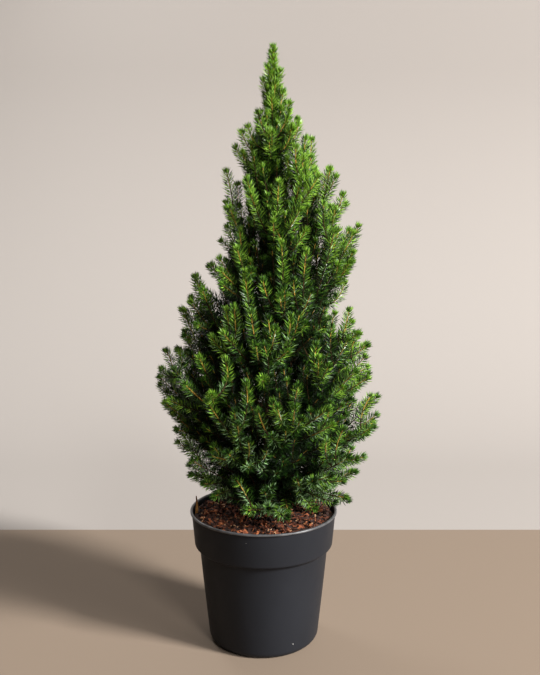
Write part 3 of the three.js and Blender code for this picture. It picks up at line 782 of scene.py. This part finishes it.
def shaft_tints(shoot, roots, to_tip, rng):
    """Which tint each needle of a shoot has: darkened by painted shade deep inside the crown, fresh towards
    an outer tip.
    """
    inside = np.clip(depth_in_crown(roots, BODY) / SHADE["to_depth"], 0, 1)
    young = to_tip < YOUNG[shoot["kind"]] * shoot["vigour"]
    fresh = SHADE["base"] + SHADE["by_vigour"] * shoot["vigour"] + SHADE["by_youth"] * young
    # Needles deeper inside the crown are darkened: painted shade
    fresh -= SHADE["fall"] * inside
    tint = np.clip(np.rint(fresh + rng.normal(0, SHADE["mottle"], len(roots))), 0, TIP).astype(int)
    # Some outer needles take the pale tint: painted glints
    glint = rng.random(len(roots)) < np.interp(roots[:, 2], *SHADE["pale_share"])
    tint[glint & (inside < SHADE["pale_inside"]) & ~young] = PALE
    return tint


def tuft_tints(shoot, count, rng):
    """Tints of a shoot's end: brightest on the strongest shoots, with painted light added by place."""
    best = next(tint for vigour, tint in TUFT_BEST if shoot["vigour"] > vigour)
    # Core tufts take the deep tint: painted shade deep in the crown
    if shoot["kind"] == "core":
        best = 0
    tint = np.clip(np.rint(best - SHADE["tuft_mottle"] * np.abs(rng.normal(0, 1, count))), 0, TIP).astype(int)
    low = shoot["points"][-1, 2] < SHADE["pale_below"]
    tint[(tint == TIP) & low & (rng.random(count) < SHADE["pale_tips"])] = PALE
    return tint


def grow_needles(shoots):
    """Needles by band of the crown and by tint."""
    rng = np.random.default_rng(NEEDLE["seed"])
    shapes = {(band, tint): Shapes() for band in BANDS for tint in TINTS}
    for shoot in shoots:
        band = band_of(shoot["mass"])
        # Each shoot's strength takes on the painted light and shade at its tip
        shoot["vigour"] = rng.uniform(*VIGOUR[shoot["kind"]]) + painted_light_at(shoot["points"][-1])
        *_, width, _, faces = NEEDLED[shoot["kind"]]
        shaped = needle_shapes if faces == len(NEEDLE_FACES) else sliver_shapes
        tuft = tuft_needles(shoot, rng)
        brushes = [(tuft, tuft_tints(shoot, len(tuft[0]), rng))]
        shaft = shaft_needles(shoot, rng)
        if shaft:
            *needles, to_tip = shaft
            brushes.append((needles, shaft_tints(shoot, needles[0], to_tip, rng)))
        for needles, tint in brushes:
            for k, name in enumerate(TINTS):
                chosen = tint == k
                if chosen.any():
                    shapes[band, name].add(*shaped(*[part[chosen] for part in needles], width))
    return shapes


# ---- twigs ----

TWIG_SIDES, TWIG_POINTS, STEM_TWIG_POINTS = 5, 6, 9
TWIG_END = 5     # how far below a shoot's tip its twig ends
TWIG_RADII = {"stem": (1.6, 0.5), "side": (0.9, 0.48), "standing": (0.9, 0.5), "outer": (0.7, 0.45),
              "inner": (0.8, 0.5), "core": (0.8, 0.5)}
# How much of a shoot's end has young bark
YOUNG_BARK = {"stem": 30.0, "side": 22.0, "standing": 26.0, "outer": 9.0, "inner": 0.0, "core": 0.0}
SKIRT_TOP, SKIRT_SHARE = 236.0, 0.2
YOUNG_LEAST, YOUNG_MOST, GOLDEN_SHARE = 0.55, 1.5, 0.618     # shares of those lengths, dealt out evenly
YOUNG_SLIM = 0.98


def tube(points, radii):
    """A closed tapering tube along a line."""
    tangents = unit(np.gradient(points, axis=0))
    helper = sideways(tangents[0])[0]
    n1 = unit(helper - (tangents @ helper)[:, None] * tangents)
    n2 = np.cross(tangents, n1)
    turn = np.arange(TWIG_SIDES) / TWIG_SIDES * 2 * math.pi
    ring = n1[:, None] * np.cos(turn)[None, :, None] + n2[:, None] * np.sin(turn)[None, :, None]
    rings = points[:, None] + ring * np.asarray(radii)[:, None, None]
    triangles = []
    for k in range(len(points) - 1):
        for j in range(TWIG_SIDES):
            a, b = k * TWIG_SIDES + j, k * TWIG_SIDES + (j + 1) % TWIG_SIDES
            c, d = b + TWIG_SIDES, a + TWIG_SIDES
            triangles += [[a, b, c], [a, c, d]]
    top = (len(points) - 1) * TWIG_SIDES
    for j in range(1, TWIG_SIDES - 1):
        triangles += [[0, j + 1, j], [top, top + j, top + j + 1]]
    return rings.reshape(-1, 3), np.array(triangles)


def young_length(shoot, index):
    young = YOUNG_BARK[shoot["kind"]] * (SKIRT_SHARE if shoot["points"][-1, 2] < SKIRT_TOP else 1)
    return young * (YOUNG_LEAST + (YOUNG_MOST - YOUNG_LEAST) * (index * GOLDEN_SHARE % 1))


def grow_twigs(shoots):
    """Twigs by band of the crown and by bark: brown where a stem is old, golden where it is young."""
    shapes = {(band, bark): Shapes() for band in BANDS for bark in ("old", "young")}
    for index, shoot in enumerate(shoots):
        count = STEM_TWIG_POINTS if shoot["kind"] == "stem" else TWIG_POINTS
        at, *_ = line_frames(shoot["points"], np.linspace(0, shoot["length"] - TWIG_END, count))
        radii = np.linspace(*TWIG_RADII[shoot["kind"]], count)
        band = band_of(shoot["mass"])
        aged = round((count - 1) * max(0, 1 - young_length(shoot, index) / shoot["length"]))
        if aged:
            shapes[band, "old"].add(*tube(at[:aged + 1], radii[:aged + 1]))
        if aged < count - 1:
            shapes[band, "young"].add(*tube(at[aged:], radii[aged:] * YOUNG_SLIM))
    return shapes


# ---- finishes ----

SHINE = dict(needle=0.28, bark=0.2, pot=0.14)
NEEDLE_DARKER, NEEDLE_LIGHTER = 0.72, 1.25


def new_finish(name, roughness):
    finish = bpy.data.materials.new(name)
    finish.use_nodes = True
    shader = finish.node_tree.nodes["Principled BSDF"]
    shader.inputs["Roughness"].default_value = roughness
    return finish, finish.node_tree, shader


def noise_on(tree, scale, detail=3.0, stretch=(1, 1, 1)):
    """Noise laid on the piece's own coordinates."""
    coords = tree.nodes.new("ShaderNodeTexCoord")
    mapping = tree.nodes.new("ShaderNodeMapping")
    mapping.inputs["Scale"].default_value = stretch
    noise = tree.nodes.new("ShaderNodeTexNoise")
    noise.inputs["Scale"].default_value = scale
    noise.inputs["Detail"].default_value = detail
    tree.links.new(coords.outputs["Object"], mapping.inputs["Vector"])
    tree.links.new(mapping.outputs["Vector"], noise.inputs["Vector"])
    return noise.outputs["Fac"]


def ramp_of(tree, factor, stops):
    ramp = tree.nodes.new("ShaderNodeValToRGB")
    ramp.color_ramp.elements[0].position, ramp.color_ramp.elements[1].position = stops[0][0], stops[-1][0]
    ramp.color_ramp.elements[0].color = (*stops[0][1], 1)
    ramp.color_ramp.elements[1].color = (*stops[-1][1], 1)
    for place, colour in stops[1:-1]:
        ramp.color_ramp.elements.new(place).color = (*colour, 1)
    tree.links.new(factor, ramp.inputs["Fac"])
    return ramp.outputs["Color"]


def bump_of(tree, shader, height, strength, distance):
    bump = tree.nodes.new("ShaderNodeBump")
    bump.inputs["Strength"].default_value = strength
    bump.inputs["Distance"].default_value = distance
    tree.links.new(height, bump.inputs["Height"])
    tree.links.new(bump.outputs["Normal"], shader.inputs["Normal"])


def needle_finish(name, colour, roughness):
    finish, tree, shader = new_finish(name, roughness)
    dark = tuple(c * NEEDLE_DARKER for c in colour)
    light = tuple(c * NEEDLE_LIGHTER for c in colour)
    shade = ramp_of(tree, noise_on(tree, 140.0, 2.0), [(0.3, dark), (0.7, light)])
    tree.links.new(shade, shader.inputs["Base Color"])
    shader.inputs["Specular IOR Level"].default_value = SHINE["needle"]
    return finish


def bark_finish(name, dark, light, scale, relief):
    finish, tree, shader = new_finish(name, 0.82)
    grain = noise_on(tree, scale, 5.0, (1, 1, 0.35))
    tree.links.new(ramp_of(tree, grain, [(0.32, dark), (0.68, light)]), shader.inputs["Base Color"])
    shader.inputs["Specular IOR Level"].default_value = SHINE["bark"]
    bump_of(tree, shader, grain, 0.6, relief)
    return finish


def pot_finish():
    """Matt charcoal polypropylene with faint flow marks and a fine grain."""
    finish, tree, shader = new_finish("charcoal_plastic", 0.5)
    cloud = noise_on(tree, 9.0, 4.0, (1, 1, 0.5))
    shade = ramp_of(tree, cloud, [(0.3, (0.0098, 0.0107, 0.0134)), (0.7, (0.0152, 0.0165, 0.0205))])
    tree.links.new(shade, shader.inputs["Base Color"])
    shader.inputs["Specular IOR Level"].default_value = SHINE["pot"]
    rough = tree.nodes.new("ShaderNodeMapRange")
    rough.inputs["To Min"].default_value, rough.inputs["To Max"].default_value = 0.42, 0.58
    tree.links.new(noise_on(tree, 60.0, 5.0), rough.inputs["Value"])
    tree.links.new(rough.outputs["Result"], shader.inputs["Roughness"])
    bump_of(tree, shader, noise_on(tree, 900.0, 2.0), 0.12, 0.0004)
    return finish


def lip_highlight_finish():
    """The same plastic along the rolled lip, smoother, and paler as a painted highlight."""
    finish, tree, shader = new_finish("lip_painted_highlight_plastic", 0.38)
    lip_streaks = noise_on(tree, 70.0, 5.0)
    # Paler streaks along the lip: a painted highlight
    shade = ramp_of(tree, lip_streaks, [(0.35, (0.035, 0.036, 0.039)), (0.7, (0.10, 0.10, 0.105))])
    tree.links.new(shade, shader.inputs["Base Color"])
    bump_of(tree, shader, lip_streaks, 0.1, 0.0004)
    return finish


def compost_finish(name, dark, middle, light, grain=260.0):
    finish, tree, shader = new_finish(name, 0.9)
    crumbs = noise_on(tree, grain, 3.0)
    shade = ramp_of(tree, crumbs, [(0.3, dark), (0.52, middle), (0.72, light)])
    tree.links.new(shade, shader.inputs["Base Color"])
    bump_of(tree, shader, crumbs, 0.9, 0.002)
    return finish


# ---- modelling by hand ----

def begin(name):
    """The piece just added, named, alone selected, in edit mode."""
    piece = bpy.context.object
    piece.name = piece.data.name = name
    bpy.ops.object.mode_set(mode="EDIT")
    return piece


def finish_piece(piece, material, nodes, angle):
    """Places the piece, gives it its finish, and smooths its edges below an angle in degrees."""
    bpy.ops.object.mode_set(mode="OBJECT")
    bpy.ops.object.transform_apply(location=True, rotation=True, scale=True)
    piece.data.materials.clear()
    piece.data.materials.append(material)
    bpy.ops.object.shade_smooth_by_angle(angle=math.radians(angle))
    declare(piece, nodes)


def raise_ring(before, after):
    """Extrudes the selected ring from one radius and height to the next."""
    (old_radius, old_z), (radius, z) = before, after
    bpy.ops.mesh.extrude_region_move(TRANSFORM_OT_translate={"value": (0, 0, z - old_z)})
    wider = radius / old_radius
    bpy.ops.transform.resize(value=(wider, wider, 1), center_override=(0, 0, z))


def turned_piece(name, profile, sides):
    """A turned closed shape: a ring at the first point of the profile, drawn on through the others."""
    bpy.ops.object.select_all(action="DESELECT")
    radius, z = profile[0]
    bpy.ops.mesh.primitive_circle_add(vertices=sides, radius=radius, location=(0, 0, z))
    piece = begin(name)
    bpy.ops.mesh.select_all(action="SELECT")
    bpy.ops.mesh.edge_face_add()
    for before, after in zip(profile, profile[1:]):
        raise_ring(before, after)
    bpy.ops.mesh.select_all(action="SELECT")
    bpy.ops.mesh.normals_make_consistent(inside=False)
    return piece


def rounded(points, radius, steps=4):
    """Profile corners turned into small arcs, except the first and the last point."""
    smooth = [points[0]]
    for before, corner, after in zip(points, points[1:], points[2:]):
        a, b, c = (np.array(p, float) for p in (before, corner, after))
        cut = min(radius, 0.45 * np.linalg.norm(a - b), 0.45 * np.linalg.norm(c - b))
        start, end = b + unit(a - b) * cut, b + unit(c - b) * cut
        for t in np.linspace(0, 1, steps):
            smooth.append(tuple(mix(mix(start, b, t), mix(b, end, t), t)))
    return smooth + [points[-1]]


# ---- pot ----

# The pot's outline in four runs of radius and height: up the outside, over the lip and down the inside
POT = dict(
    foot=[(0.020, 0.0), (0.0664, 0.0), (0.0712, 0.0052), (0.0776, 0.0660)], foot_round=0.0034,
    collar=[(0.0800, 0.0900), (0.0831, 0.1222), (0.0894, 0.1270), (0.0930, 0.1668)], collar_round=0.0012,
    lip=[(0.0931, 0.1680), (0.0946, 0.1683), (0.0950, 0.1688), (0.0950, 0.1702), (0.0944, 0.1709),
         (0.0934, 0.1710)],
    inside=[(0.0922, 0.1707), (0.0918, 0.1694), (0.0912, 0.1660), (0.0880, 0.1300), (0.0814, 0.1220),
            (0.0692, 0.0076), (0.0650, 0.0026), (0.020, 0.0026)],
    sides=128, highlight_above=0.1681, highlight_outside=0.0915)


def make_pot():
    foot, collar = rounded(POT["foot"], POT["foot_round"]), rounded(POT["collar"], POT["collar_round"])
    pot = turned_piece("pot_shell", foot + collar + POT["lip"] + POT["inside"], POT["sides"])
    finish_piece(pot, pot_finish(), ["pot"], 50)
    # Faces on the outer top of the lip take the paler finish: a painted highlight
    pot.data.materials.append(lip_highlight_finish())
    for face in pot.data.polygons:
        x, y, z = face.center
        if z > POT["highlight_above"] and math.hypot(x, y) > POT["highlight_outside"]:
            face.material_index = 1


# Grains of lime on the pot: azimuth from the front in degrees, height, the pot's radius there, size
GRAINS = ((30.7, 0.0166, 0.0724, 0.0007), (-12.6, 0.1590, 0.0922, 0.0003), (152.0, 0.0960, 0.0807, 0.0006))


def make_grains():
    grains = Shapes()
    for azimuth, z, radius, size in GRAINS:
        turn = math.radians(azimuth - 90)
        at = np.array([radius * math.cos(turn), radius * math.sin(turn), z])
        bpy.ops.mesh.primitive_ico_sphere_add(subdivisions=1, radius=size)
        grain = bpy.context.object
        points = np.array([v.co for v in grain.data.vertices])
        grains.add((points + at) / MM, np.array([p.vertices for p in grain.data.polygons]))
        bpy.data.objects.remove(grain)
    lime = compost_finish("lime_grain", (0.42, 0.41, 0.38), (0.60, 0.59, 0.56), (0.78, 0.77, 0.74))
    joined_mesh("lime_grains", grains, lime, [])


# ---- compost ----

# Its surface: outer rings, then rings inwards over a bed that heaps up to the rim and ripples a little
BED = dict(top=0.1640, foot=(0.0868, 0.1320), shoulder=[(0.0900, 0.1625), (0.0888, 0.1650)], outer=0.084,
           inner=0.003, rings=28, sides=96)
HEAP = dict(rise=2.3, radius=86, power=4)
RIPPLE = dict(seed=5, waves=14, lengths=(60, 420), shares=(0.3, 1), lift=0.00055, within=0.004,
              edge=0.0895, edge_width=0.01)


def stir_top(bed):
    """Lifts and lowers the upper points by a seeded ripple."""
    rng = np.random.default_rng(RIPPLE["seed"])
    waves = [(rng.uniform(*RIPPLE["lengths"], 2), rng.uniform(0, ANY_TURN), rng.uniform(*RIPPLE["shares"]))
             for _ in range(RIPPLE["waves"])]
    for vertex in bed.data.vertices:
        x, y, z = vertex.co
        if z < BED["top"] - RIPPLE["within"]:
            continue
        lift = sum(share * math.sin(k[0] * x + k[1] * y + phase) for k, phase, share in waves)
        edge = min(1, max(0, (RIPPLE["edge"] - math.hypot(x, y)) / RIPPLE["edge_width"]))
        vertex.co.z = z + RIPPLE["lift"] * lift * edge


def heaped(far):
    """How far the compost rises towards the rim, in millimetres."""
    return HEAP["rise"] * (far / HEAP["radius"]) ** HEAP["power"]


def make_compost():
    bed_rings = [(radius, BED["top"] + heaped(radius / MM) * MM)
                 for radius in np.linspace(BED["outer"], BED["inner"], BED["rings"])]
    bed = turned_piece("compost_bed", [BED["foot"]] + BED["shoulder"] + bed_rings, BED["sides"])
    bpy.ops.object.mode_set(mode="OBJECT")
    stir_top(bed)
    finish = compost_finish("dark_compost", (0.008, 0.003, 0.002), (0.036, 0.012, 0.006),
                            (0.11, 0.040, 0.017))
    finish_piece(bed, finish, ["compost"], 60)


# ---- bark chips and fibres on the compost ----

# Chips by length, width and thickness, and how their two ends are cut: share of the length, and the cut's way
CHIP_SIZES = dict(chunky=(7.0, 3.6, 1.7), sliver=(9.0, 1.6, 0.9), flake=(6.0, 4.4, 0.8),
                  crumb=(2.6, 2.0, 1.5))
CHIP_CUTS = ((0.36, (0.8, 0.5, 0.3)), (-0.38, (-0.8, 0.35, 0.4)))
# Heaps of chips: piece, its chips, tries, sizes, seed, tilt, lift, and their finish
CHIPS = (
    ("dark_chips", ("chunky", "flake", "crumb"), 1000, (0.6, 1.3), 31, 0.5, 0.8,
     ("wet_bark", (0.008, 0.003, 0.002), (0.028, 0.009, 0.005), (0.09, 0.028, 0.012), 130.0)),
    ("red_chips", ("chunky", "sliver", "flake", "sliver"), 620, (0.6, 1.3), 32, 0.5, 1.0,
     ("red_bark", (0.040, 0.010, 0.004), (0.17, 0.042, 0.013), (0.50, 0.16, 0.050), 120.0)),
    ("pale_fibres", ("sliver",), 120, (0.4, 1.05), 33, 0.35, 1.3,
     ("dry_fibre", (0.24, 0.11, 0.05), (0.50, 0.27, 0.13), (0.72, 0.50, 0.32))),
)
# Where chips lie: clear of the trunk, inside the rim by a share of their size, and stretched a little
STREWN = dict(radius=86.0, least_share=0.004, past_trunk=13, rim=89, rim_share=0.62, chip=10,
              top=164, lifts=(0.2, 2.2), stretch=(0.7, 1.3))
RIM_SLIVER = dict(at=(-0.0872, -0.0040, 0.1632), length=0.0250, width=0.0032, thick=0.0014, lean=-2, turn=12,
                  cuts=4, taper=0.62, bow=0.0009, bow_turn=3.0)


def chip_shape(name, size):
    """One chip, split from a bar with its two ends cut aslant."""
    bpy.ops.object.select_all(action="DESELECT")
    bpy.ops.mesh.primitive_cube_add(size=1)
    chip = begin("chip_" + name)
    bpy.ops.mesh.select_all(action="SELECT")
    bpy.ops.transform.resize(value=size, center_override=(0, 0, 0))
    for share, way in CHIP_CUTS:
        bpy.ops.mesh.select_all(action="SELECT")
        bpy.ops.mesh.bisect(plane_co=(share * size[0], 0, 0), plane_no=way, clear_outer=True, use_fill=True)
    bpy.ops.mesh.select_all(action="SELECT")
    bpy.ops.mesh.quads_convert_to_tris()
    bpy.ops.object.mode_set(mode="OBJECT")
    points = np.array([v.co for v in chip.data.vertices])
    triangles = np.array([p.vertices for p in chip.data.polygons])
    bpy.data.objects.remove(chip)
    return points, triangles


def turn_about(rng, tilt):
    heading = rng.uniform(0, 2 * math.pi)
    lean = Matrix.Rotation(rng.normal(0, tilt), 3, "X") @ Matrix.Rotation(rng.normal(0, tilt), 3, "Y")
    return np.array(Matrix.Rotation(heading, 3, "Z") @ lean)


def scatter_chips(shapes, count, sizes, seed, tilt, lift):
    """Chips strewn over the compost, as one heap of shapes."""
    rng = np.random.default_rng(seed)
    heap = Shapes()
    for _ in range(count):
        points, triangles = shapes[rng.integers(len(shapes))]
        far = STREWN["radius"] * math.sqrt(rng.uniform(STREWN["least_share"], 1))
        azimuth = rng.uniform(0, 2 * math.pi)
        if far < STREWN["past_trunk"]:
            continue
        size = rng.uniform(*sizes)
        far = min(far, STREWN["rim"] - STREWN["rim_share"] * size * STREWN["chip"])
        height = STREWN["top"] + heaped(far) + lift * rng.uniform(*STREWN["lifts"])
        stretch = rng.uniform(*STREWN["stretch"], 3)
        placed = points * stretch * size @ turn_about(rng, tilt).T + far * level(azimuth) + [0, 0, height]
        heap.add(placed, triangles)
    return heap


def make_chips():
    shapes = {name: chip_shape(name, size) for name, size in CHIP_SIZES.items()}
    for piece, kinds, count, sizes, seed, tilt, lift, finish in CHIPS:
        heap = scatter_chips([shapes[kind] for kind in kinds], count, sizes, seed, tilt, lift)
        joined_mesh(piece, heap, compost_finish(*finish), [])


def stand_sliver():
    """A splinter of bark that stands upright just inside the rim, on the left."""
    bpy.ops.object.select_all(action="DESELECT")
    bpy.ops.mesh.primitive_cube_add(size=1)
    sliver = begin("rim_sliver")
    bpy.ops.mesh.select_all(action="SELECT")
    bpy.ops.transform.resize(value=(RIM_SLIVER["width"], RIM_SLIVER["thick"], RIM_SLIVER["length"]))
    bpy.ops.mesh.subdivide(number_cuts=RIM_SLIVER["cuts"])
    bpy.ops.object.mode_set(mode="OBJECT")
    for vertex in sliver.data.vertices:
        share = vertex.co.z / RIM_SLIVER["length"] + 0.5
        slim = 1 - RIM_SLIVER["taper"] * share ** 2
        vertex.co.x = vertex.co.x * slim + RIM_SLIVER["bow"] * math.sin(RIM_SLIVER["bow_turn"] * share)
        vertex.co.y *= slim
        vertex.co.z += RIM_SLIVER["length"] / 2
    bpy.ops.object.mode_set(mode="EDIT")
    sliver.rotation_euler = (math.radians(RIM_SLIVER["lean"]), 0, math.radians(RIM_SLIVER["turn"]))
    sliver.location = RIM_SLIVER["at"]
    finish = compost_finish("dry_splinter", (0.05, 0.016, 0.005), (0.36, 0.15, 0.035),
                            (0.56, 0.27, 0.07), 70.0)
    finish_piece(sliver, finish, [], 40)


# ---- trunk and boughs ----

TRUNK_BARK = dict(rings=150, crowd=1.35, sides=24, furrow=0.00028, seed=3)
BOUGH_BARK = dict(rings=14, sides=10, knob=0.07, knob_step=2.3)
# Furrows and plates: how many run round the limb, how strong they are, and how long along it
FURROWS = dict(long=5, sway=0.5, sway_length=7, plates=9, plate_share=0.7, plate_twist=0.16, plate_length=4.3,
               cracks=2, crack_share=0.5, crack_length=2.1, full_radius=0.004)


def limb_piece(name, points, radii, sides):
    """A limb drawn ring by ring along its line; points in metres."""
    bpy.ops.object.select_all(action="DESELECT")
    bpy.ops.mesh.primitive_circle_add(vertices=sides, radius=radii[0], location=points[0])
    limb = begin(name)
    bpy.ops.mesh.select_all(action="SELECT")
    face_ring(unit(points[1] - points[0]))
    bpy.ops.mesh.edge_face_add()
    for k in range(1, len(points)):
        step = points[k] - points[k - 1]
        bpy.ops.mesh.extrude_region_move(TRANSFORM_OT_translate={"value": tuple(step)})
        scale = radii[k] / radii[k - 1]
        bpy.ops.transform.resize(value=(scale, scale, scale), center_override=tuple(points[k]))
    bpy.ops.mesh.select_all(action="SELECT")
    bpy.ops.mesh.normals_make_consistent(inside=False)
    bpy.ops.object.mode_set(mode="OBJECT")
    bpy.ops.object.transform_apply(location=True, rotation=True, scale=True)
    return limb


def face_ring(heading):
    """Turns the selected flat ring to face along a heading."""
    swing = Vector((0, 0, 1)).rotation_difference(Vector(heading))
    turn = swing.to_matrix().to_4x4()
    ring = bpy.context.object
    bpy.ops.object.mode_set(mode="OBJECT")
    for vertex in ring.data.vertices:
        vertex.co = turn @ vertex.co
    bpy.ops.object.mode_set(mode="EDIT")
    bpy.ops.mesh.select_all(action="SELECT")


def furrow(limb, axis_at, depth, seed):
    """Bark relief: long furrows and plates round the limb."""
    rng = np.random.default_rng(seed)
    phase = rng.uniform(0, ANY_TURN, 6)
    for vertex in limb.data.vertices:
        centre = Vector(axis_at(vertex.co.z))
        off = vertex.co - centre
        off.z = 0
        if off.length < 1e-5:
            continue
        azimuth = math.atan2(off.y, off.x)
        z = vertex.co.z / MM
        sway = FURROWS["sway"] * math.sin(z / FURROWS["sway_length"] + phase[0])
        relief = math.sin(FURROWS["long"] * azimuth + sway + phase[1])
        plate = math.sin(FURROWS["plates"] * azimuth + FURROWS["plate_twist"] * z + phase[2])
        relief += FURROWS["plate_share"] * plate * math.sin(z / FURROWS["plate_length"] + phase[3])
        crack = math.sin(z / FURROWS["crack_length"] + FURROWS["cracks"] * azimuth + phase[4])
        relief += FURROWS["crack_share"] * crack
        vertex.co += off.normalized() * depth * relief * min(1, off.length / FURROWS["full_radius"])


def make_trunk():
    shares = np.linspace(0, 1, TRUNK_BARK["rings"]) ** TRUNK_BARK["crowd"]
    heights = TRUNK["foot_z"] + (TRUNK["tip_z"] - TRUNK["foot_z"]) * shares
    points = trunk_centre(heights) * MM
    radii = [trunk_radius(z) * MM for z in heights]
    trunk = limb_piece("trunk_bark", points, radii, TRUNK_BARK["sides"])
    furrow(trunk, lambda z: trunk_centre(z / MM) * MM, TRUNK_BARK["furrow"], TRUNK_BARK["seed"])
    bark = bark_finish("furrowed_bark", (0.05, 0.022, 0.012), (0.22, 0.13, 0.075), 420.0, 0.0012)
    bpy.ops.object.mode_set(mode="EDIT")
    finish_piece(trunk, bark, ["trunk"], 60)


def make_boughs(tree):
    limbs, rings = [], BOUGH_BARK["rings"]
    borne = [mass for mass in tree.masses if mass["bough"] is not None]
    for mass in borne:
        slim = 1 - BOUGH["slimming"] * up_crown(mass["z"])
        line = mass["bough"]
        at, *_ = line_frames(line, np.linspace(TRUNK["tip_radius"], path_length(line), rings))
        radii = np.linspace(BOUGH["foot_radius"] * slim, BOUGH["end_radius"], rings)
        knobs = 1 + BOUGH_BARK["knob"] * np.sin(np.arange(rings) * BOUGH_BARK["knob_step"] + mass["index"])
        limbs.append(limb_piece("bough", at * MM, list(radii * knobs * MM), BOUGH_BARK["sides"]))
    bpy.ops.object.select_all(action="DESELECT")
    for limb in limbs:
        limb.select_set(True)
    bpy.context.view_layer.objects.active = limbs[0]
    bpy.ops.object.join()
    boughs = bpy.context.object
    boughs.name = boughs.data.name = "bough_bark"
    bark = bark_finish("brown_twig_bark", (0.06, 0.028, 0.014), (0.26, 0.14, 0.07), 500.0, 0.0008)
    bpy.ops.object.mode_set(mode="EDIT")
    finish_piece(boughs, bark, [f"bough_{mass['index'] + 1:02d}" for mass in borne], 60)


# ---- the crown's pieces ----

def make_crown(tree):
    shoots = all_shoots(tree)
    finishes = {
        "deep": needle_finish("deep_needles", (0.0055, 0.0165, 0.0026), 0.42),
        "green": needle_finish("green_needles", (0.031, 0.087, 0.012), 0.30),
        "fresh": needle_finish("fresh_needles", (0.088, 0.20, 0.021), 0.30),
        "tip": needle_finish("tip_needles", (0.21, 0.39, 0.038), 0.31),
        "pale": needle_finish("pale_needles", (0.23, 0.38, 0.17), 0.26),
        "old": bark_finish("old_twig_bark", (0.018, 0.010, 0.004), (0.07, 0.036, 0.012), 600.0, 0.0004),
        "young": bark_finish("young_twig_bark", (0.15, 0.075, 0.012), (0.50, 0.31, 0.055), 600.0, 0.0003),
    }
    nodes = {band: [m["node"] for m in tree.masses if m["index"] in BANDS[band]] for band in BANDS}
    for grown, word, slot in ((grow_needles(shoots), "needles", "needles"),
                              (grow_twigs(shoots), "twigs", "bough_bark")):
        for (band, kind), shapes in grown.items():
            if shapes.count:
                joined_mesh(f"{kind}_{word}_{band}", shapes, finishes[kind], nodes[band])


# ---- floor, backdrop, light and camera ----

def plain_finish(name, colour, roughness):
    finish, _, shader = new_finish(name, roughness)
    shader.inputs["Base Color"].default_value = (*colour, 1)
    return finish


# The floor reaches back to the foot of a curved sweep, which stands well behind the tree
STAGE = dict(wide=9.0, floor_front=-4.5, floor_back=0.37, bend_from=0.75, bend_radius=1.1, high=4.0, steps=24)


def stage_sheet(name, profile, finish):
    """A wide sheet drawn through a profile of (y, z) points."""
    half = STAGE["wide"] / 2
    points = [(side * half, y, z) for y, z in profile for side in (-1, 1)]
    faces = [(2 * i, 2 * i + 1, 2 * i + 3, 2 * i + 2) for i in range(len(profile) - 1)]
    mesh = bpy.data.meshes.new(name)
    mesh.from_pydata(points, [], faces)
    mesh.polygons.foreach_set("use_smooth", [True] * len(faces))
    mesh.materials.append(finish)
    sheet = bpy.data.objects.new(name, mesh)
    bpy.context.collection.objects.link(sheet)
    return sheet


def make_stage():
    back, radius, steps = STAGE["floor_back"], STAGE["bend_radius"], STAGE["steps"]
    floor = stage_sheet("pale_floor", [(STAGE["floor_front"], 0), (back, 0)],
                        plain_finish("pale_boards", (0.225, 0.170, 0.125), 0.8))
    bend = [(STAGE["bend_from"] + radius * math.sin(math.pi / 2 * i / steps),
             radius - radius * math.cos(math.pi / 2 * i / steps)) for i in range(steps + 1)]
    sweep = stage_sheet("pale_sweep", [(back, 0)] + bend + [(bend[-1][0], STAGE["high"])],
                        plain_finish("pale_wash", (0.350, 0.320, 0.298), 0.9))


ROOM = dict(colour=(1.0, 0.99, 0.96, 1), strength=0.052)
# Lights: name, place, what they are aimed at, size, power and colour
LIGHTS = (
    ("window_right", (9.0, -4.75, 6.72), (0, 0, 0.35), (2.0, 2.75), 3200, (1.0, 0.985, 0.96)),
    ("front_softbox", (0.7, -1.7, 1.7), (0, 0, 0.45), (0.4, 0.4), 18, (1.0, 0.99, 0.97)),
    ("low_right_softbox", (1.9, -1.3, 0.45), (0, 0, 0.2), (0.5, 0.5), 28, (1.0, 0.99, 1.0)),
    ("back_softbox", (-0.9, 1.3, 1.9), (0, 0, 0.4), (0.5, 0.5), 10, (0.97, 0.99, 1.0)),
)


def area_light(name, at, aim, size, power, colour):
    data = bpy.data.lights.new(name, "AREA")
    data.shape, data.size, data.size_y, data.energy, data.color = "RECTANGLE", *size, power, colour
    light = bpy.data.objects.new(name, data)
    bpy.context.collection.objects.link(light)
    light.location = at
    light.rotation_euler = (Vector(aim) - Vector(at)).to_track_quat("-Z", "Y").to_euler()


def make_light():
    world = bpy.data.worlds.new("soft_room")
    world.use_nodes = True
    world.node_tree.nodes["Background"].inputs["Color"].default_value = ROOM["colour"]
    world.node_tree.nodes["Background"].inputs["Strength"].default_value = ROOM["strength"]
    bpy.context.scene.world = world
    for light in LIGHTS:
        area_light(*light)
    bpy.context.scene.view_settings.view_transform = "Standard"


def make_camera():
    data = bpy.data.cameras.new("camera")
    data.sensor_fit, data.sensor_width = "AUTO", CAMERA["sensor"]
    data.lens = CAMERA["focal"] / CAMERA["height"] * CAMERA["sensor"]
    camera = bpy.data.objects.new("camera", data)
    bpy.context.collection.objects.link(camera)
    camera.location = np.array(CAMERA["at"]) * MM
    camera.rotation_euler = (math.radians(90 - CAMERA["pitch"]), 0, 0)
    bpy.context.scene.camera = camera


make_camera()
make_light()
make_stage()
make_pot()
make_grains()
make_compost()
make_chips()
stand_sliver()
make_trunk()
spruce = grow_tree()
make_boughs(spruce)
make_crown(spruce)
